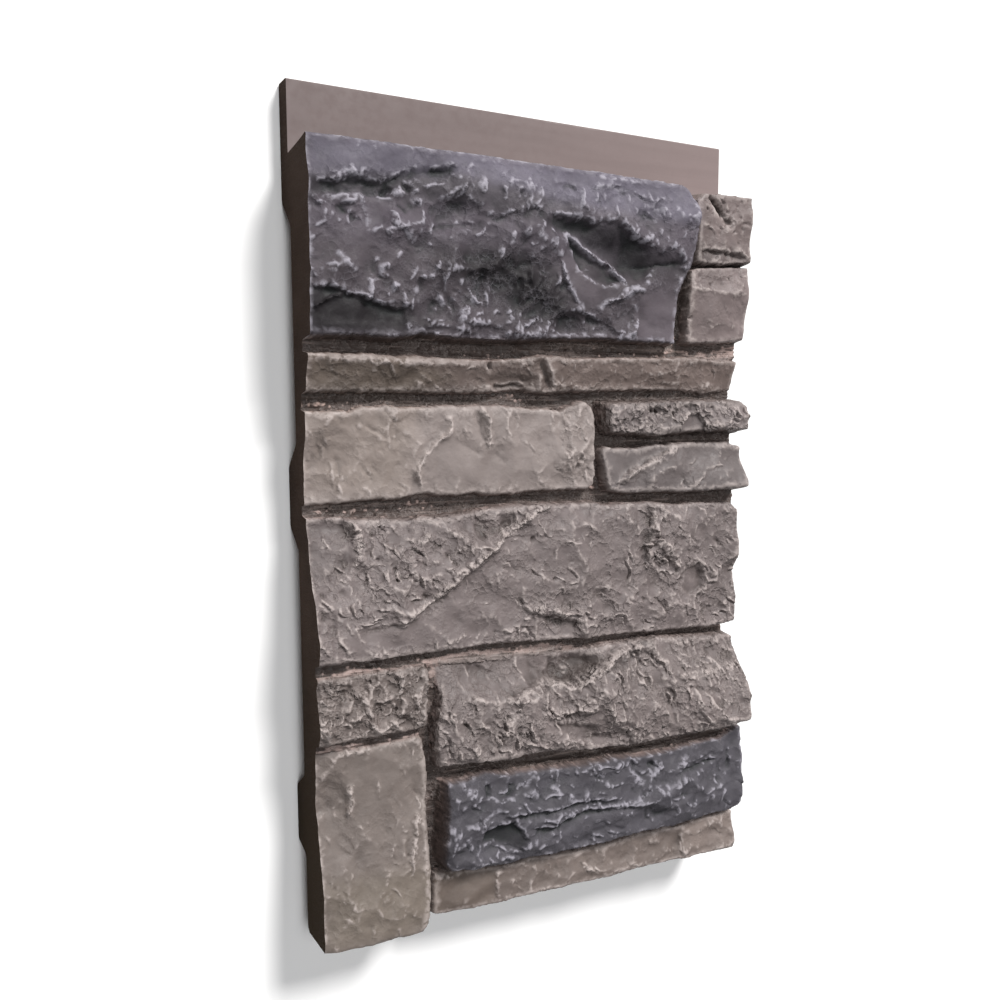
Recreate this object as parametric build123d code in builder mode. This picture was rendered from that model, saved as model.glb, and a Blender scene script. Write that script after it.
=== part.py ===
# Faux stone wall panel, one piece cut from an interlocking moulded panel.
#
# One rigid polyurethane moulding: a plain lap flange along the top, a field of
# eleven raised ledge stones with recessed mortar joints between them, and a
# back with three level seating ribs and shallow recesses.  Both ends are
# straight saw cuts.
#
# Frame: the panel lies on its back ribs.  X runs along the courses, +Y points
# up the wall, +Z points out of the wall.  The origin is at the bottom centre.

from build123d import *
import os

os.makedirs("parts", exist_ok=True)

# ---------------------------------------------------------------- dimensions
WIDTH = 203.0            # between the two saw cuts
HEIGHT = 330.0           # bottom edge to top of the lap flange
FLANGE_T = 9.0           # thickness of the lap flange
BED_TOP = 303.0          # top of the mortar bed; the two top stones reach 305 to 306
RECESS = 10.0            # depth of the two wide recesses in the back
REBATE = 9.5             # depth of the lap rebate along the bottom, 0.5 over the flange
SLAB = 14.0              # flat core behind the mortar bed
OVERRUN = 4.0            # moulding past the saw cuts before they are made

# back profile (y, z) from the bottom edge up to the flange
BACK = [
    (0.9, REBATE + 2.0), (2.5, REBATE), (33.0, REBATE), (36.6, 0.0), (59.3, 0.0), (65.8, RECESS),
    (155.0, RECESS), (164.0, 0.0), (187.0, 0.0), (196.0, RECESS),
    (277.0, RECESS), (287.0, 0.0), (HEIGHT, 0.0),
]

# mortar bed: height of its front at the joint lines, at four places along X
BED_Y = [1.4, 22.0, 62.0, 81.0, 110.0, 140.0, 171.0, 199.0, 214.0, 238.0, 275.0, BED_TOP]
BED_X = [0.0, 60.0, 130.0, WIDTH]
BED_Z = [
    [17.0, 19.0, 22.0, 24.8, 26.3, 20.0, 14.6, 16.0, 17.0, 21.0, 22.0, 20.0],
    [17.5, 20.0, 20.5, 22.5, 24.0, 20.0, 16.0, 17.0, 17.5, 21.0, 22.0, 20.0],
    [18.0, 21.0, 22.0, 21.5, 20.5, 20.0, 19.0, 19.5, 18.0, 21.5, 22.5, 20.5],
    [18.0, 23.5, 27.0, 22.0, 16.2, 19.0, 22.6, 19.8, 17.0, 22.0, 23.2, 21.0],
]

# The stones.  Each is a list of stations along X; a station is its x and the
# (y, z) points of the stone's face there, from its bottom edge to its top one.
STONES = {
    # wide stone at the top left, leaning out over the flange line
    "A": [
        (0.0, [(235.6, 28.6), (246.0, 30.9), (262.0, 31.6), (277.0, 32.0), (284.0, 29.4), (291.0, 33.0), (302.5, 31.3), (305.8, 28.6)]),
        (30.0, [(236.6, 29.0), (247.0, 31.0), (262.0, 31.8), (276.0, 32.0), (284.5, 29.8), (291.5, 33.6), (302.5, 32.0), (306.0, 28.8)]),
        (62.0, [(237.0, 28.2), (247.0, 30.6), (262.0, 32.4), (276.0, 33.4), (285.0, 32.6), (293.0, 34.2), (302.5, 32.4), (306.0, 28.9)]),
        (100.0, [(238.2, 28.0), (248.0, 30.0), (262.0, 32.0), (276.0, 31.4), (285.0, 33.2), (293.0, 34.4), (302.5, 32.6), (306.0, 29.0)]),
        (135.0, [(239.0, 28.6), (247.0, 30.2), (258.0, 31.6), (270.0, 30.2), (282.0, 32.8), (292.0, 34.6), (302.0, 33.2), (306.0, 29.2)]),
        (160.0, [(239.2, 28.4), (247.0, 29.6), (257.0, 30.4), (268.0, 31.6), (281.0, 34.0), (291.0, 34.6), (301.0, 33.0), (305.6, 29.4)]),
        (168.0, [(240.5, 24.0), (248.0, 25.0), (257.0, 27.0), (268.0, 31.0), (281.0, 33.4), (291.0, 33.8), (300.0, 32.0), (304.6, 28.4)]),
        (176.0, [(262.0, 22.5), (264.0, 23.5), (268.0, 25.0), (274.0, 26.6), (283.0, 28.6), (290.0, 28.8), (296.0, 27.0), (300.0, 23.0)]),
    ],
    # small stone at the top right
    "A2": [
        (174.5, [(277.8, 25.0), (280.0, 29.6), (288.0, 30.6), (296.0, 30.8), (302.0, 30.0), (305.6, 26.0)]),
        (179.0, [(277.4, 27.0), (280.0, 30.8), (287.0, 31.4), (295.0, 31.6), (301.5, 31.0), (306.4, 28.2)]),
        (203.0, [(276.8, 28.6), (280.3, 32.1), (287.0, 31.8), (294.8, 33.5), (300.5, 32.4), (305.2, 31.4)]),
    ],
    "A3": [
        (169.0, [(239.6, 24.5), (243.0, 27.4), (252.0, 28.8), (261.0, 29.6), (265.0, 28.2), (270.0, 24.0)]),
        (173.0, [(239.8, 26.0), (243.0, 28.6), (252.0, 29.8), (262.0, 31.4), (266.0, 30.0), (271.5, 24.6)]),
        (203.0, [(240.6, 26.4), (244.0, 28.0), (253.0, 29.5), (262.8, 32.1), (267.0, 30.6), (272.8, 24.0)]),
    ],
    # thin stone right across
    "B": [
        (0.0, [(215.2, 21.6), (219.0, 23.4), (224.0, 25.8), (229.0, 27.7), (230.6, 26.0)]),
        (55.0, [(216.0, 21.0), (220.0, 23.4), (225.0, 25.4), (229.2, 27.0), (231.4, 24.6)]),
        (88.0, [(216.6, 20.4), (220.0, 22.2), (225.0, 24.8), (229.4, 26.4), (231.8, 24.4)]),
        (98.0, [(216.8, 23.4), (221.0, 26.4), (226.0, 28.4), (230.6, 28.4), (233.0, 25.4)]),
        (130.0, [(218.0, 20.4), (221.0, 22.6), (226.0, 25.0), (231.4, 26.6), (234.0, 24.2)]),
        (170.0, [(218.6, 19.6), (221.6, 22.0), (227.0, 24.2), (233.0, 26.0), (235.6, 23.4)]),
        (203.0, [(216.0, 17.6), (221.0, 19.6), (226.0, 21.8), (232.2, 24.8), (236.0, 22.8)]),
    ],
    # pale stone, middle left
    "C": [
        (0.0, [(173.6, 17.6), (175.4, 18.9), (182.0, 18.2), (190.0, 18.4), (199.0, 20.4), (206.0, 22.2), (208.4, 20.6)]),
        (22.0, [(173.6, 19.6), (176.0, 21.0), (184.0, 21.5), (192.0, 21.6), (200.0, 22.4), (207.0, 23.0), (209.8, 21.2)]),
        (60.0, [(174.8, 20.6), (177.0, 22.8), (185.0, 23.4), (192.0, 23.8), (200.0, 24.2), (208.4, 24.0), (211.6, 21.8)]),
        (100.0, [(176.0, 21.6), (178.4, 24.0), (185.0, 25.0), (192.0, 25.2), (200.0, 25.2), (207.6, 24.6), (210.8, 22.4)]),
        (119.0, [(176.2, 22.4), (179.0, 25.0), (185.0, 26.2), (192.0, 26.4), (200.0, 26.2), (209.0, 25.4), (213.0, 23.0)]),
        (124.5, [(178.0, 20.5), (181.0, 22.0), (186.0, 22.4), (193.0, 22.4), (200.0, 22.2), (206.0, 22.0), (210.6, 20.5)]),
    ],
    # two short stones, middle right
    "D1": [
        (130.0, [(202.0, 25.0), (204.0, 28.6), (207.0, 29.4), (210.0, 28.8), (212.4, 25.4)]),
        (134.0, [(201.2, 26.6), (203.6, 30.4), (207.0, 31.0), (211.0, 30.2), (213.6, 26.6)]),
        (168.0, [(200.4, 27.0), (203.0, 31.4), (207.0, 31.8), (211.6, 31.0), (214.6, 27.2)]),
        (203.0, [(201.4, 29.4), (202.6, 33.8), (206.6, 34.0), (211.0, 33.0), (214.4, 28.6)]),
    ],
    "D2": [
        (127.5, [(175.6, 22.0), (178.4, 24.6), (184.0, 24.8), (189.0, 24.4), (193.2, 22.0)]),
        (132.0, [(175.2, 24.0), (178.0, 27.0), (184.0, 27.4), (190.0, 26.6), (194.2, 23.4)]),
        (165.0, [(175.0, 26.6), (177.6, 30.0), (184.0, 29.2), (190.0, 28.0), (195.0, 24.0)]),
        (203.0, [(174.4, 30.6), (177.4, 35.4), (183.6, 31.3), (189.0, 28.1), (195.4, 23.0)]),
    ],
    # tall stone right across
    "E": [
        (0.0, [(112.0, 29.6), (115.0, 31.9), (123.0, 31.3), (130.0, 30.0), (138.0, 27.8), (148.0, 24.4), (158.0, 22.4), (164.5, 20.6), (168.2, 17.0)]),
        (28.0, [(112.4, 28.0), (115.4, 30.6), (123.0, 30.6), (131.0, 29.8), (140.0, 28.4), (149.0, 26.4), (158.0, 24.6), (164.5, 22.6), (168.0, 19.0)]),
        (60.0, [(113.2, 26.6), (116.4, 29.2), (124.0, 29.4), (132.0, 29.6), (141.0, 29.8), (150.0, 29.2), (158.0, 27.4), (164.5, 25.0), (168.2, 21.2)]),
        (100.0, [(113.6, 25.6), (116.6, 28.2), (124.0, 28.4), (132.0, 28.8), (141.0, 29.2), (150.0, 29.4), (158.0, 28.6), (165.0, 27.0), (170.0, 23.4)]),
        (150.0, [(111.8, 25.2), (115.0, 27.4), (123.0, 27.9), (131.0, 28.0), (140.0, 28.6), (149.0, 29.0), (158.0, 29.0), (165.0, 27.6), (170.0, 24.2)]),
        (203.0, [(110.8, 22.6), (114.4, 25.8), (121.0, 25.2), (129.0, 24.8), (138.0, 25.4), (147.0, 26.6), (157.0, 26.8), (164.0, 26.8), (169.0, 23.8)]),
    ],
    # small hammered stone, lower left
    "F": [
        (0.0, [(82.2, 27.6), (85.0, 29.6), (91.0, 29.1), (98.0, 28.6), (104.0, 28.6), (108.6, 27.6)]),
        (22.0, [(82.8, 27.4), (86.0, 29.7), (92.0, 29.0), (98.0, 28.9), (104.0, 28.6), (109.0, 26.6)]),
        (41.0, [(82.8, 27.0), (86.0, 29.2), (92.0, 29.4), (98.0, 29.4), (104.0, 29.0), (108.8, 26.6)]),
        (46.5, [(85.4, 23.0), (88.0, 24.0), (93.0, 24.4), (98.0, 24.4), (103.0, 24.0), (106.4, 23.0)]),
    ],
    # tall stone at the bottom left, its foot a little below the rest
    "H": [
        (0.0, [(1.2, 33.6), (5.0, 30.4), (12.0, 31.0), (20.0, 29.7), (32.0, 28.8), (45.0, 25.8), (58.0, 23.6), (68.0, 23.2), (76.0, 24.2), (79.4, 23.2)]),
        (20.0, [(0.0, 30.4), (5.0, 33.0), (12.0, 32.4), (20.0, 31.2), (32.0, 30.2), (45.0, 28.0), (58.0, 26.6), (68.0, 26.2), (76.0, 26.2), (79.6, 24.4)]),
        (40.0, [(0.6, 29.6), (5.4, 32.6), (12.0, 32.4), (20.0, 31.6), (32.0, 31.0), (45.0, 29.6), (58.0, 28.6), (68.0, 28.0), (76.0, 27.4), (80.2, 25.0)]),
        (46.5, [(5.0, 22.0), (9.0, 26.0), (14.0, 26.8), (21.0, 27.2), (32.0, 27.0), (45.0, 26.4), (58.0, 25.6), (67.0, 25.0), (73.0, 24.4), (76.6, 23.0)]),
    ],
    # broken stone, lower right, thickest at its right end
    "G": [
        (48.8, [(66.4, 25.0), (69.0, 27.0), (76.0, 27.6), (85.0, 27.6), (93.0, 27.0), (98.0, 25.4), (102.0, 23.8), (104.4, 22.4)]),
        (53.5, [(65.0, 28.0), (68.0, 31.0), (76.0, 32.0), (85.0, 32.4), (93.0, 31.4), (99.0, 28.0), (104.0, 25.0), (109.6, 22.4)]),
        (85.0, [(63.4, 28.6), (66.6, 31.6), (75.0, 33.0), (84.0, 33.4), (91.0, 32.0), (96.0, 27.6), (102.0, 24.4), (109.6, 21.4)]),
        (112.0, [(64.0, 28.6), (67.2, 31.6), (75.0, 33.6), (84.0, 34.2), (91.0, 33.0), (95.6, 27.0), (101.0, 23.4), (108.8, 20.4)]),
        (130.0, [(64.2, 29.0), (67.4, 32.0), (75.0, 34.4), (83.0, 35.2), (90.0, 35.0), (96.0, 33.6), (102.0, 30.0), (108.6, 21.4)]),
        (160.0, [(64.0, 30.0), (67.0, 33.4), (74.0, 36.4), (81.0, 37.0), (88.0, 35.8), (95.0, 32.6), (103.0, 28.4), (109.0, 21.0)]),
        (203.0, [(64.4, 30.0), (68.0, 39.6), (70.4, 40.5), (75.0, 38.8), (80.0, 39.6), (89.0, 35.1), (98.5, 25.4), (105.6, 19.0)]),
    ],
    # dark ledged stone, lower right
    "I": [
        (52.0, [(26.0, 24.0), (28.6, 27.6), (35.0, 28.6), (43.0, 28.6), (50.0, 28.2), (56.0, 26.4), (58.6, 24.0)]),
        (56.5, [(23.6, 26.0), (26.6, 31.6), (34.0, 33.0), (42.0, 33.0), (50.0, 32.4), (57.0, 30.0), (60.4, 26.0)]),
        (85.0, [(20.4, 26.2), (23.6, 31.8), (32.0, 33.6), (41.0, 33.6), (49.0, 32.8), (56.4, 30.2), (60.0, 25.6)]),
        (115.0, [(20.6, 26.2), (23.8, 32.2), (32.0, 34.2), (41.0, 33.8), (49.0, 33.2), (55.8, 30.8), (59.4, 26.0)]),
        (150.0, [(22.0, 26.4), (25.0, 32.4), (33.0, 34.8), (41.0, 34.4), (49.0, 33.8), (56.2, 31.6), (60.0, 26.8)]),
        (203.0, [(20.8, 25.6), (25.4, 31.8), (31.7, 35.9), (38.0, 35.7), (46.0, 34.8), (56.3, 32.6), (63.4, 29.4)]),
    ],
    # low strip under it
    "J": [
        (46.0, [(2.0, 24.4), (8.0, 25.0), (15.0, 25.0), (24.0, 24.2)]),
        (80.0, [(0.8, 26.0), (7.0, 27.4), (14.0, 27.0), (21.0, 25.4)]),
        (120.0, [(0.8, 26.4), (7.0, 27.8), (14.0, 27.2), (21.4, 25.4)]),
        (160.0, [(1.4, 27.0), (7.0, 28.4), (14.0, 27.6), (22.6, 25.8)]),
        (203.0, [(1.0, 27.0), (5.0, 29.4), (12.0, 27.9), (20.6, 24.6)]),
    ],
}
ROOT = 11.6              # depth at which the stones are buried in the bed
FLANGE_ROOT = 5.0        # and above ROOT_STEP, behind the face of the flange
ROOT_STEP = 290.0


def section(x):
    """Plane across the panel at x from the left cut: local x is y, local y is z."""
    return Plane(origin=(x - WIDTH / 2, -HEIGHT / 2, 0), x_dir=(0, 1, 0), z_dir=(1, 0, 0))


def along(x):
    """Push an end station past the saw cut that it lies on."""
    return x - OVERRUN if x <= 0 else x + OVERRUN if x >= WIDTH else x


with BuildPart() as faux_stone_panel:
    # core: ribbed back, rebate and lap flange, one section from cut to cut
    with BuildSketch(section(-OVERRUN)):
        with BuildLine():
            Polyline(*BACK, (HEIGHT, FLANGE_T), (BED_TOP - 6, FLANGE_T), (BED_TOP - 6, SLAB), (0.9, SLAB), close=True)
        make_face()
    extrude(amount=WIDTH + 2 * OVERRUN)

    # mortar bed on it
    for x, levels in zip(BED_X, BED_Z):
        with BuildSketch(section(along(x))):
            with BuildLine():
                Polyline(
                    (BED_Y[0], ROOT),
                    *zip(BED_Y, levels),
                    (BED_TOP, FLANGE_ROOT),
                    (ROOT_STEP + 1, FLANGE_ROOT),
                    (ROOT_STEP - 1, ROOT),
                    close=True,
                )
            make_face()
    loft(ruled=True)

    # the raised stones
    for stations in STONES.values():
        for x, face in stations:
            with BuildSketch(section(along(x))):
                with BuildLine():
                    if face[-1][0] > ROOT_STEP:
                        foot = [(face[-1][0], FLANGE_ROOT), (ROOT_STEP + 2, FLANGE_ROOT), (ROOT_STEP, ROOT)]
                    else:
                        foot = [(face[-1][0], ROOT)]
                    Polyline((face[0][0], ROOT), *face, *foot, close=True)
                make_face()
        loft(ruled=True)

    # the two saw cuts
    for side in (-1, 1):
        with Locations((side * (WIDTH / 2 + OVERRUN), 0, 25)):
            Box(2 * OVERRUN, HEIGHT + 40, 80, mode=Mode.SUBTRACT)

faux_stone_panel.part.label = "faux_stone_panel"
export_step(faux_stone_panel.part, "parts/faux_stone_panel.step")

print("volume (cm3):", round(faux_stone_panel.part.volume / 1000, 1))
print("solids:", len(faux_stone_panel.part.solids()), "faces:", len(faux_stone_panel.part.faces()))
print("box:", faux_stone_panel.part.bounding_box())
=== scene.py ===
# Faux stone wall panel: the visual model.
#
# One rigid moulding, so one piece.  Its front is a relief worked out on a grid
# over the panel (x across from the left saw cut, y up from the bottom edge,
# z out of the wall, all in millimetres), then closed with the lap flange, the
# moulded back and the two saw cuts, and thinned where it is smooth.
import bpy
import bmesh
import math
import numpy as np
from mathutils import Matrix, Vector


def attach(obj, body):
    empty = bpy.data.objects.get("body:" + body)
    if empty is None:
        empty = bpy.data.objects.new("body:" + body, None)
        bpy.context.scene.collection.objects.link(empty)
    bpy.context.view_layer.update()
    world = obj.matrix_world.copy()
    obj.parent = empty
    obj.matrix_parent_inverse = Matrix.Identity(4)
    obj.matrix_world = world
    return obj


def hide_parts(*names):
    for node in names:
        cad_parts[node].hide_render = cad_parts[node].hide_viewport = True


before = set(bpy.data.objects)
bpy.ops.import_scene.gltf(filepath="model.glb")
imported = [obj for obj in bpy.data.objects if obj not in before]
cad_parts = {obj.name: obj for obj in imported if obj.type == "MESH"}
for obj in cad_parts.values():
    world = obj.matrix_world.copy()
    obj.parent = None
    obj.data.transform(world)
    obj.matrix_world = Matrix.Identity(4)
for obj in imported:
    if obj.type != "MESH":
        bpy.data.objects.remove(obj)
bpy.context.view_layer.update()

# ------------------------------------------------------------------ the grid
W, H = 203.0, 330.0
PITCH = 0.5
TOP = 306.0                      # last grid row: the front edge of the top stones
nx = int(round(W / PITCH)) + 1
ny = int(round(TOP / PITCH)) + 1
xs = np.linspace(0.0, W, nx)
ys = np.linspace(0.0, TOP, ny)
X, Y = np.meshgrid(xs, ys)


# ----------------------------------------------------------------- utilities
def smooth(a, b, v):
    t = np.clip((v - a) / (b - a), 0.0, 1.0)
    return t * t * (3 - 2 * t)


def blur(a, mm):
    """Gaussian blur by a radius in millimetres, edges held."""
    s = mm / PITCH
    n = max(1, int(math.ceil(s * 2.8)))
    k = np.exp(-0.5 * (np.arange(-n, n + 1) / s) ** 2)
    k /= k.sum()
    p = np.pad(a, ((n, n), (0, 0)), mode="edge")
    out = sum(w * p[i:i + a.shape[0]] for i, w in enumerate(k))
    p = np.pad(out, ((0, 0), (n, n)), mode="edge")
    return sum(w * p[:, i:i + a.shape[1]] for i, w in enumerate(k))


TABLES = {}


def table(seed):
    if seed not in TABLES:
        r = np.random.RandomState(seed)
        p = r.permutation(1024)
        a = r.rand(1024) * 2 * math.pi
        TABLES[seed] = (np.concatenate([p, p]), np.cos(a), np.sin(a), r.rand(1024), r.rand(1024), r.rand(1024))
    return TABLES[seed]


def grad(x, y, seed):
    """Gradient noise, about -1 to 1."""
    p, gx, gy = table(seed)[:3]
    xi, yi = np.floor(x).astype(np.int64), np.floor(y).astype(np.int64)
    fx, fy = x - xi, y - yi
    u = fx * fx * fx * (fx * (fx * 6 - 15) + 10)
    v = fy * fy * fy * (fy * (fy * 6 - 15) + 10)

    def corner(i, j):
        h = p[p[(xi + i) & 1023] + ((yi + j) & 1023)]
        return gx[h] * (fx - i) + gy[h] * (fy - j)

    a = corner(0, 0) * (1 - u) + corner(1, 0) * u
    b = corner(0, 1) * (1 - u) + corner(1, 1) * u
    return 1.5 * (a * (1 - v) + b * v)


def fbm(x, y, mm, seed, octaves=4, gain=0.5, stretch=1.0, turn=0.0):
    """Layered noise with features mm across; stretch lengthens them along the direction turn (degrees)."""
    c, s = math.cos(math.radians(turn)), math.sin(math.radians(turn))
    u, v = (c * x + s * y) / (mm * stretch), (-s * x + c * y) / mm
    total, amp, norm = 0.0, 1.0, 0.0
    for k in range(octaves):
        total = total + amp * grad(u + 17.3 * k, v - 9.1 * k, seed + k)
        norm += amp
        amp *= gain
        u, v = u * 2.03, v * 2.03
    return total / norm


def ridged(x, y, mm, seed, octaves=3, gain=0.5, stretch=1.0, turn=0.0):
    """Noise with sharp crests, 0 to 1."""
    c, s = math.cos(math.radians(turn)), math.sin(math.radians(turn))
    u, v = (c * x + s * y) / (mm * stretch), (-s * x + c * y) / mm
    total, amp, norm = 0.0, 1.0, 0.0
    for k in range(octaves):
        total = total + amp * (1 - np.abs(grad(u + 31.7 * k, v + 5.9 * k, seed + k))) ** 2
        norm += amp
        amp *= gain
        u, v = u * 2.1, v * 2.1
    return total / norm


def cells(x, y, mm, seed):
    """Distances to the nearest and second nearest of scattered points, in cells, and a number for the nearest."""
    p, _, _, jx, jy, num = table(seed)
    u, v = x / mm, y / mm
    xi, yi = np.floor(u).astype(np.int64), np.floor(v).astype(np.int64)
    f1 = np.full(np.shape(u), 9.0)
    f2 = f1.copy()
    who = np.zeros(np.shape(u))
    for i in (-1, 0, 1):
        for j in (-1, 0, 1):
            h = p[p[(xi + i) & 1023] + ((yi + j) & 1023)]
            d = np.hypot(xi + i + jx[h] - u, yi + j + jy[h] - v)
            near = d < f1
            f2 = np.where(near, f1, np.minimum(f2, d))
            who = np.where(near, num[h], who)
            f1 = np.where(near, d, f1)
    return f1, f2, who


def scoops(x, y, mm, seed, stretch=1.0, turn=0.0):
    """Shallow hollows about mm across that meet in sharp crests, in cells, about zero."""
    p, tx, ty, jx, jy, num = table(seed)
    c, s = math.cos(math.radians(turn)), math.sin(math.radians(turn))
    u, v = (c * x + s * y) / (mm * stretch), (-s * x + c * y) / mm
    xi, yi = np.floor(u).astype(np.int64), np.floor(v).astype(np.int64)
    low = np.full(np.shape(u), 9.0)
    for i in (-1, 0, 1):
        for j in (-1, 0, 1):
            h = p[p[(xi + i) & 1023] + ((yi + j) & 1023)]
            du, dv = u - (xi + i + jx[h]), v - (yi + j + jy[h])
            bowl = du * du + dv * dv + 0.55 * num[h] + 0.42 * (tx[h] * du + ty[h] * dv)
            near = np.minimum(low, bowl)
            far = np.maximum(low, bowl)
            low = near - 0.012 * np.exp(-(far - near) / 0.03)
    return low - 0.34


def nicks(x, y, mm, seed, turn, fan, half, thick, share):
    """Scattered short curved cuts, each with a raised lip along one side; about -1 to 0.6."""
    p, _, _, jx, jy, num = table(seed)
    _, bx, _, k1, k2, k3 = table(seed + 1)
    xi, yi = np.floor(x / mm).astype(np.int64), np.floor(y / mm).astype(np.int64)
    out = np.zeros(np.shape(x))
    for i in (-1, 0, 1):
        for j in (-1, 0, 1):
            h = p[p[(xi + i) & 1023] + ((yi + j) & 1023)]
            a = np.radians(turn + fan * (2 * num[h] - 1))
            dx, dy = x - (xi + i + jx[h]) * mm, y - (yi + j + jy[h]) * mm
            s, w = np.cos(a) * dx + np.sin(a) * dy, np.cos(a) * dy - np.sin(a) * dx
            k = 0.55 + 0.75 * k1[h]
            s = s / (half * k)
            w = (w + bx[h] * 1.8 * thick * s * s) / thick
            shape = 0.85 * np.exp(-((w - 1.1) / 0.75) ** 2) - 0.8 * np.exp(-(w / 0.65) ** 2)
            out += np.where(k2[h] < share, k * shape * np.exp(-s ** 4) * np.where(k3[h] < 0.25, -0.8, 1.0), 0.0)
    return out


def terraces(v, sharp=6.0):
    """Turns a smooth height into broken steps one unit high."""
    base = np.floor(v)
    t = v - base
    return base + 1 / (1 + np.exp(-sharp * 2 * (t - 0.5)))


def near_line(pts, x, y):
    """Distance to a run of points, which side (+1 is left of its direction), and how far along it, 0 to 1."""
    best = np.full(np.shape(x), 1e9)
    side = np.ones(np.shape(x))
    along = np.zeros(np.shape(x))
    seg = [math.dist(a, b) for a, b in zip(pts, pts[1:])]
    total, done = sum(seg), 0.0
    for (ax, ay), (bx, by), length in zip(pts, pts[1:], seg):
        dx, dy = bx - ax, by - ay
        t = np.clip(((x - ax) * dx + (y - ay) * dy) / max(length * length, 1e-9), 0, 1)
        ex, ey = x - ax - t * dx, y - ay - t * dy
        d = np.hypot(ex, ey)
        m = d < best
        side = np.where(m, np.where(dx * ey - dy * ex >= 0, 1.0, -1.0), side)
        along = np.where(m, (done + t * length) / total, along)
        best = np.where(m, d, best)
        done += length
    return best, side, along


def inside_by(poly, x, y):
    """Distance to a closed outline, positive inside it."""
    d, _, _ = near_line(list(poly) + [poly[0]], x, y)
    odd = np.zeros(np.shape(x), bool)
    for (ax, ay), (bx, by) in zip(poly, list(poly[1:]) + [poly[0]]):
        if ay == by:
            continue
        cross = ((ay > y) != (by > y)) & (x < (bx - ax) * (y - ay) / (by - ay) + ax)
        odd ^= cross
    return np.where(odd, d, -d)


def window(pts, margin):
    """The part of the grid within a margin of some points."""
    px, py = [p[0] for p in pts], [p[1] for p in pts]
    i0 = max(0, int((min(px) - margin) / PITCH))
    i1 = min(nx, int((max(px) + margin) / PITCH) + 2)
    j0 = max(0, int((min(py) - margin) / PITCH))
    j1 = min(ny, int((max(py) + margin) / PITCH) + 2)
    return slice(j0, max(j1, j0 + 1)), slice(i0, max(i1, i0 + 1))


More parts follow.
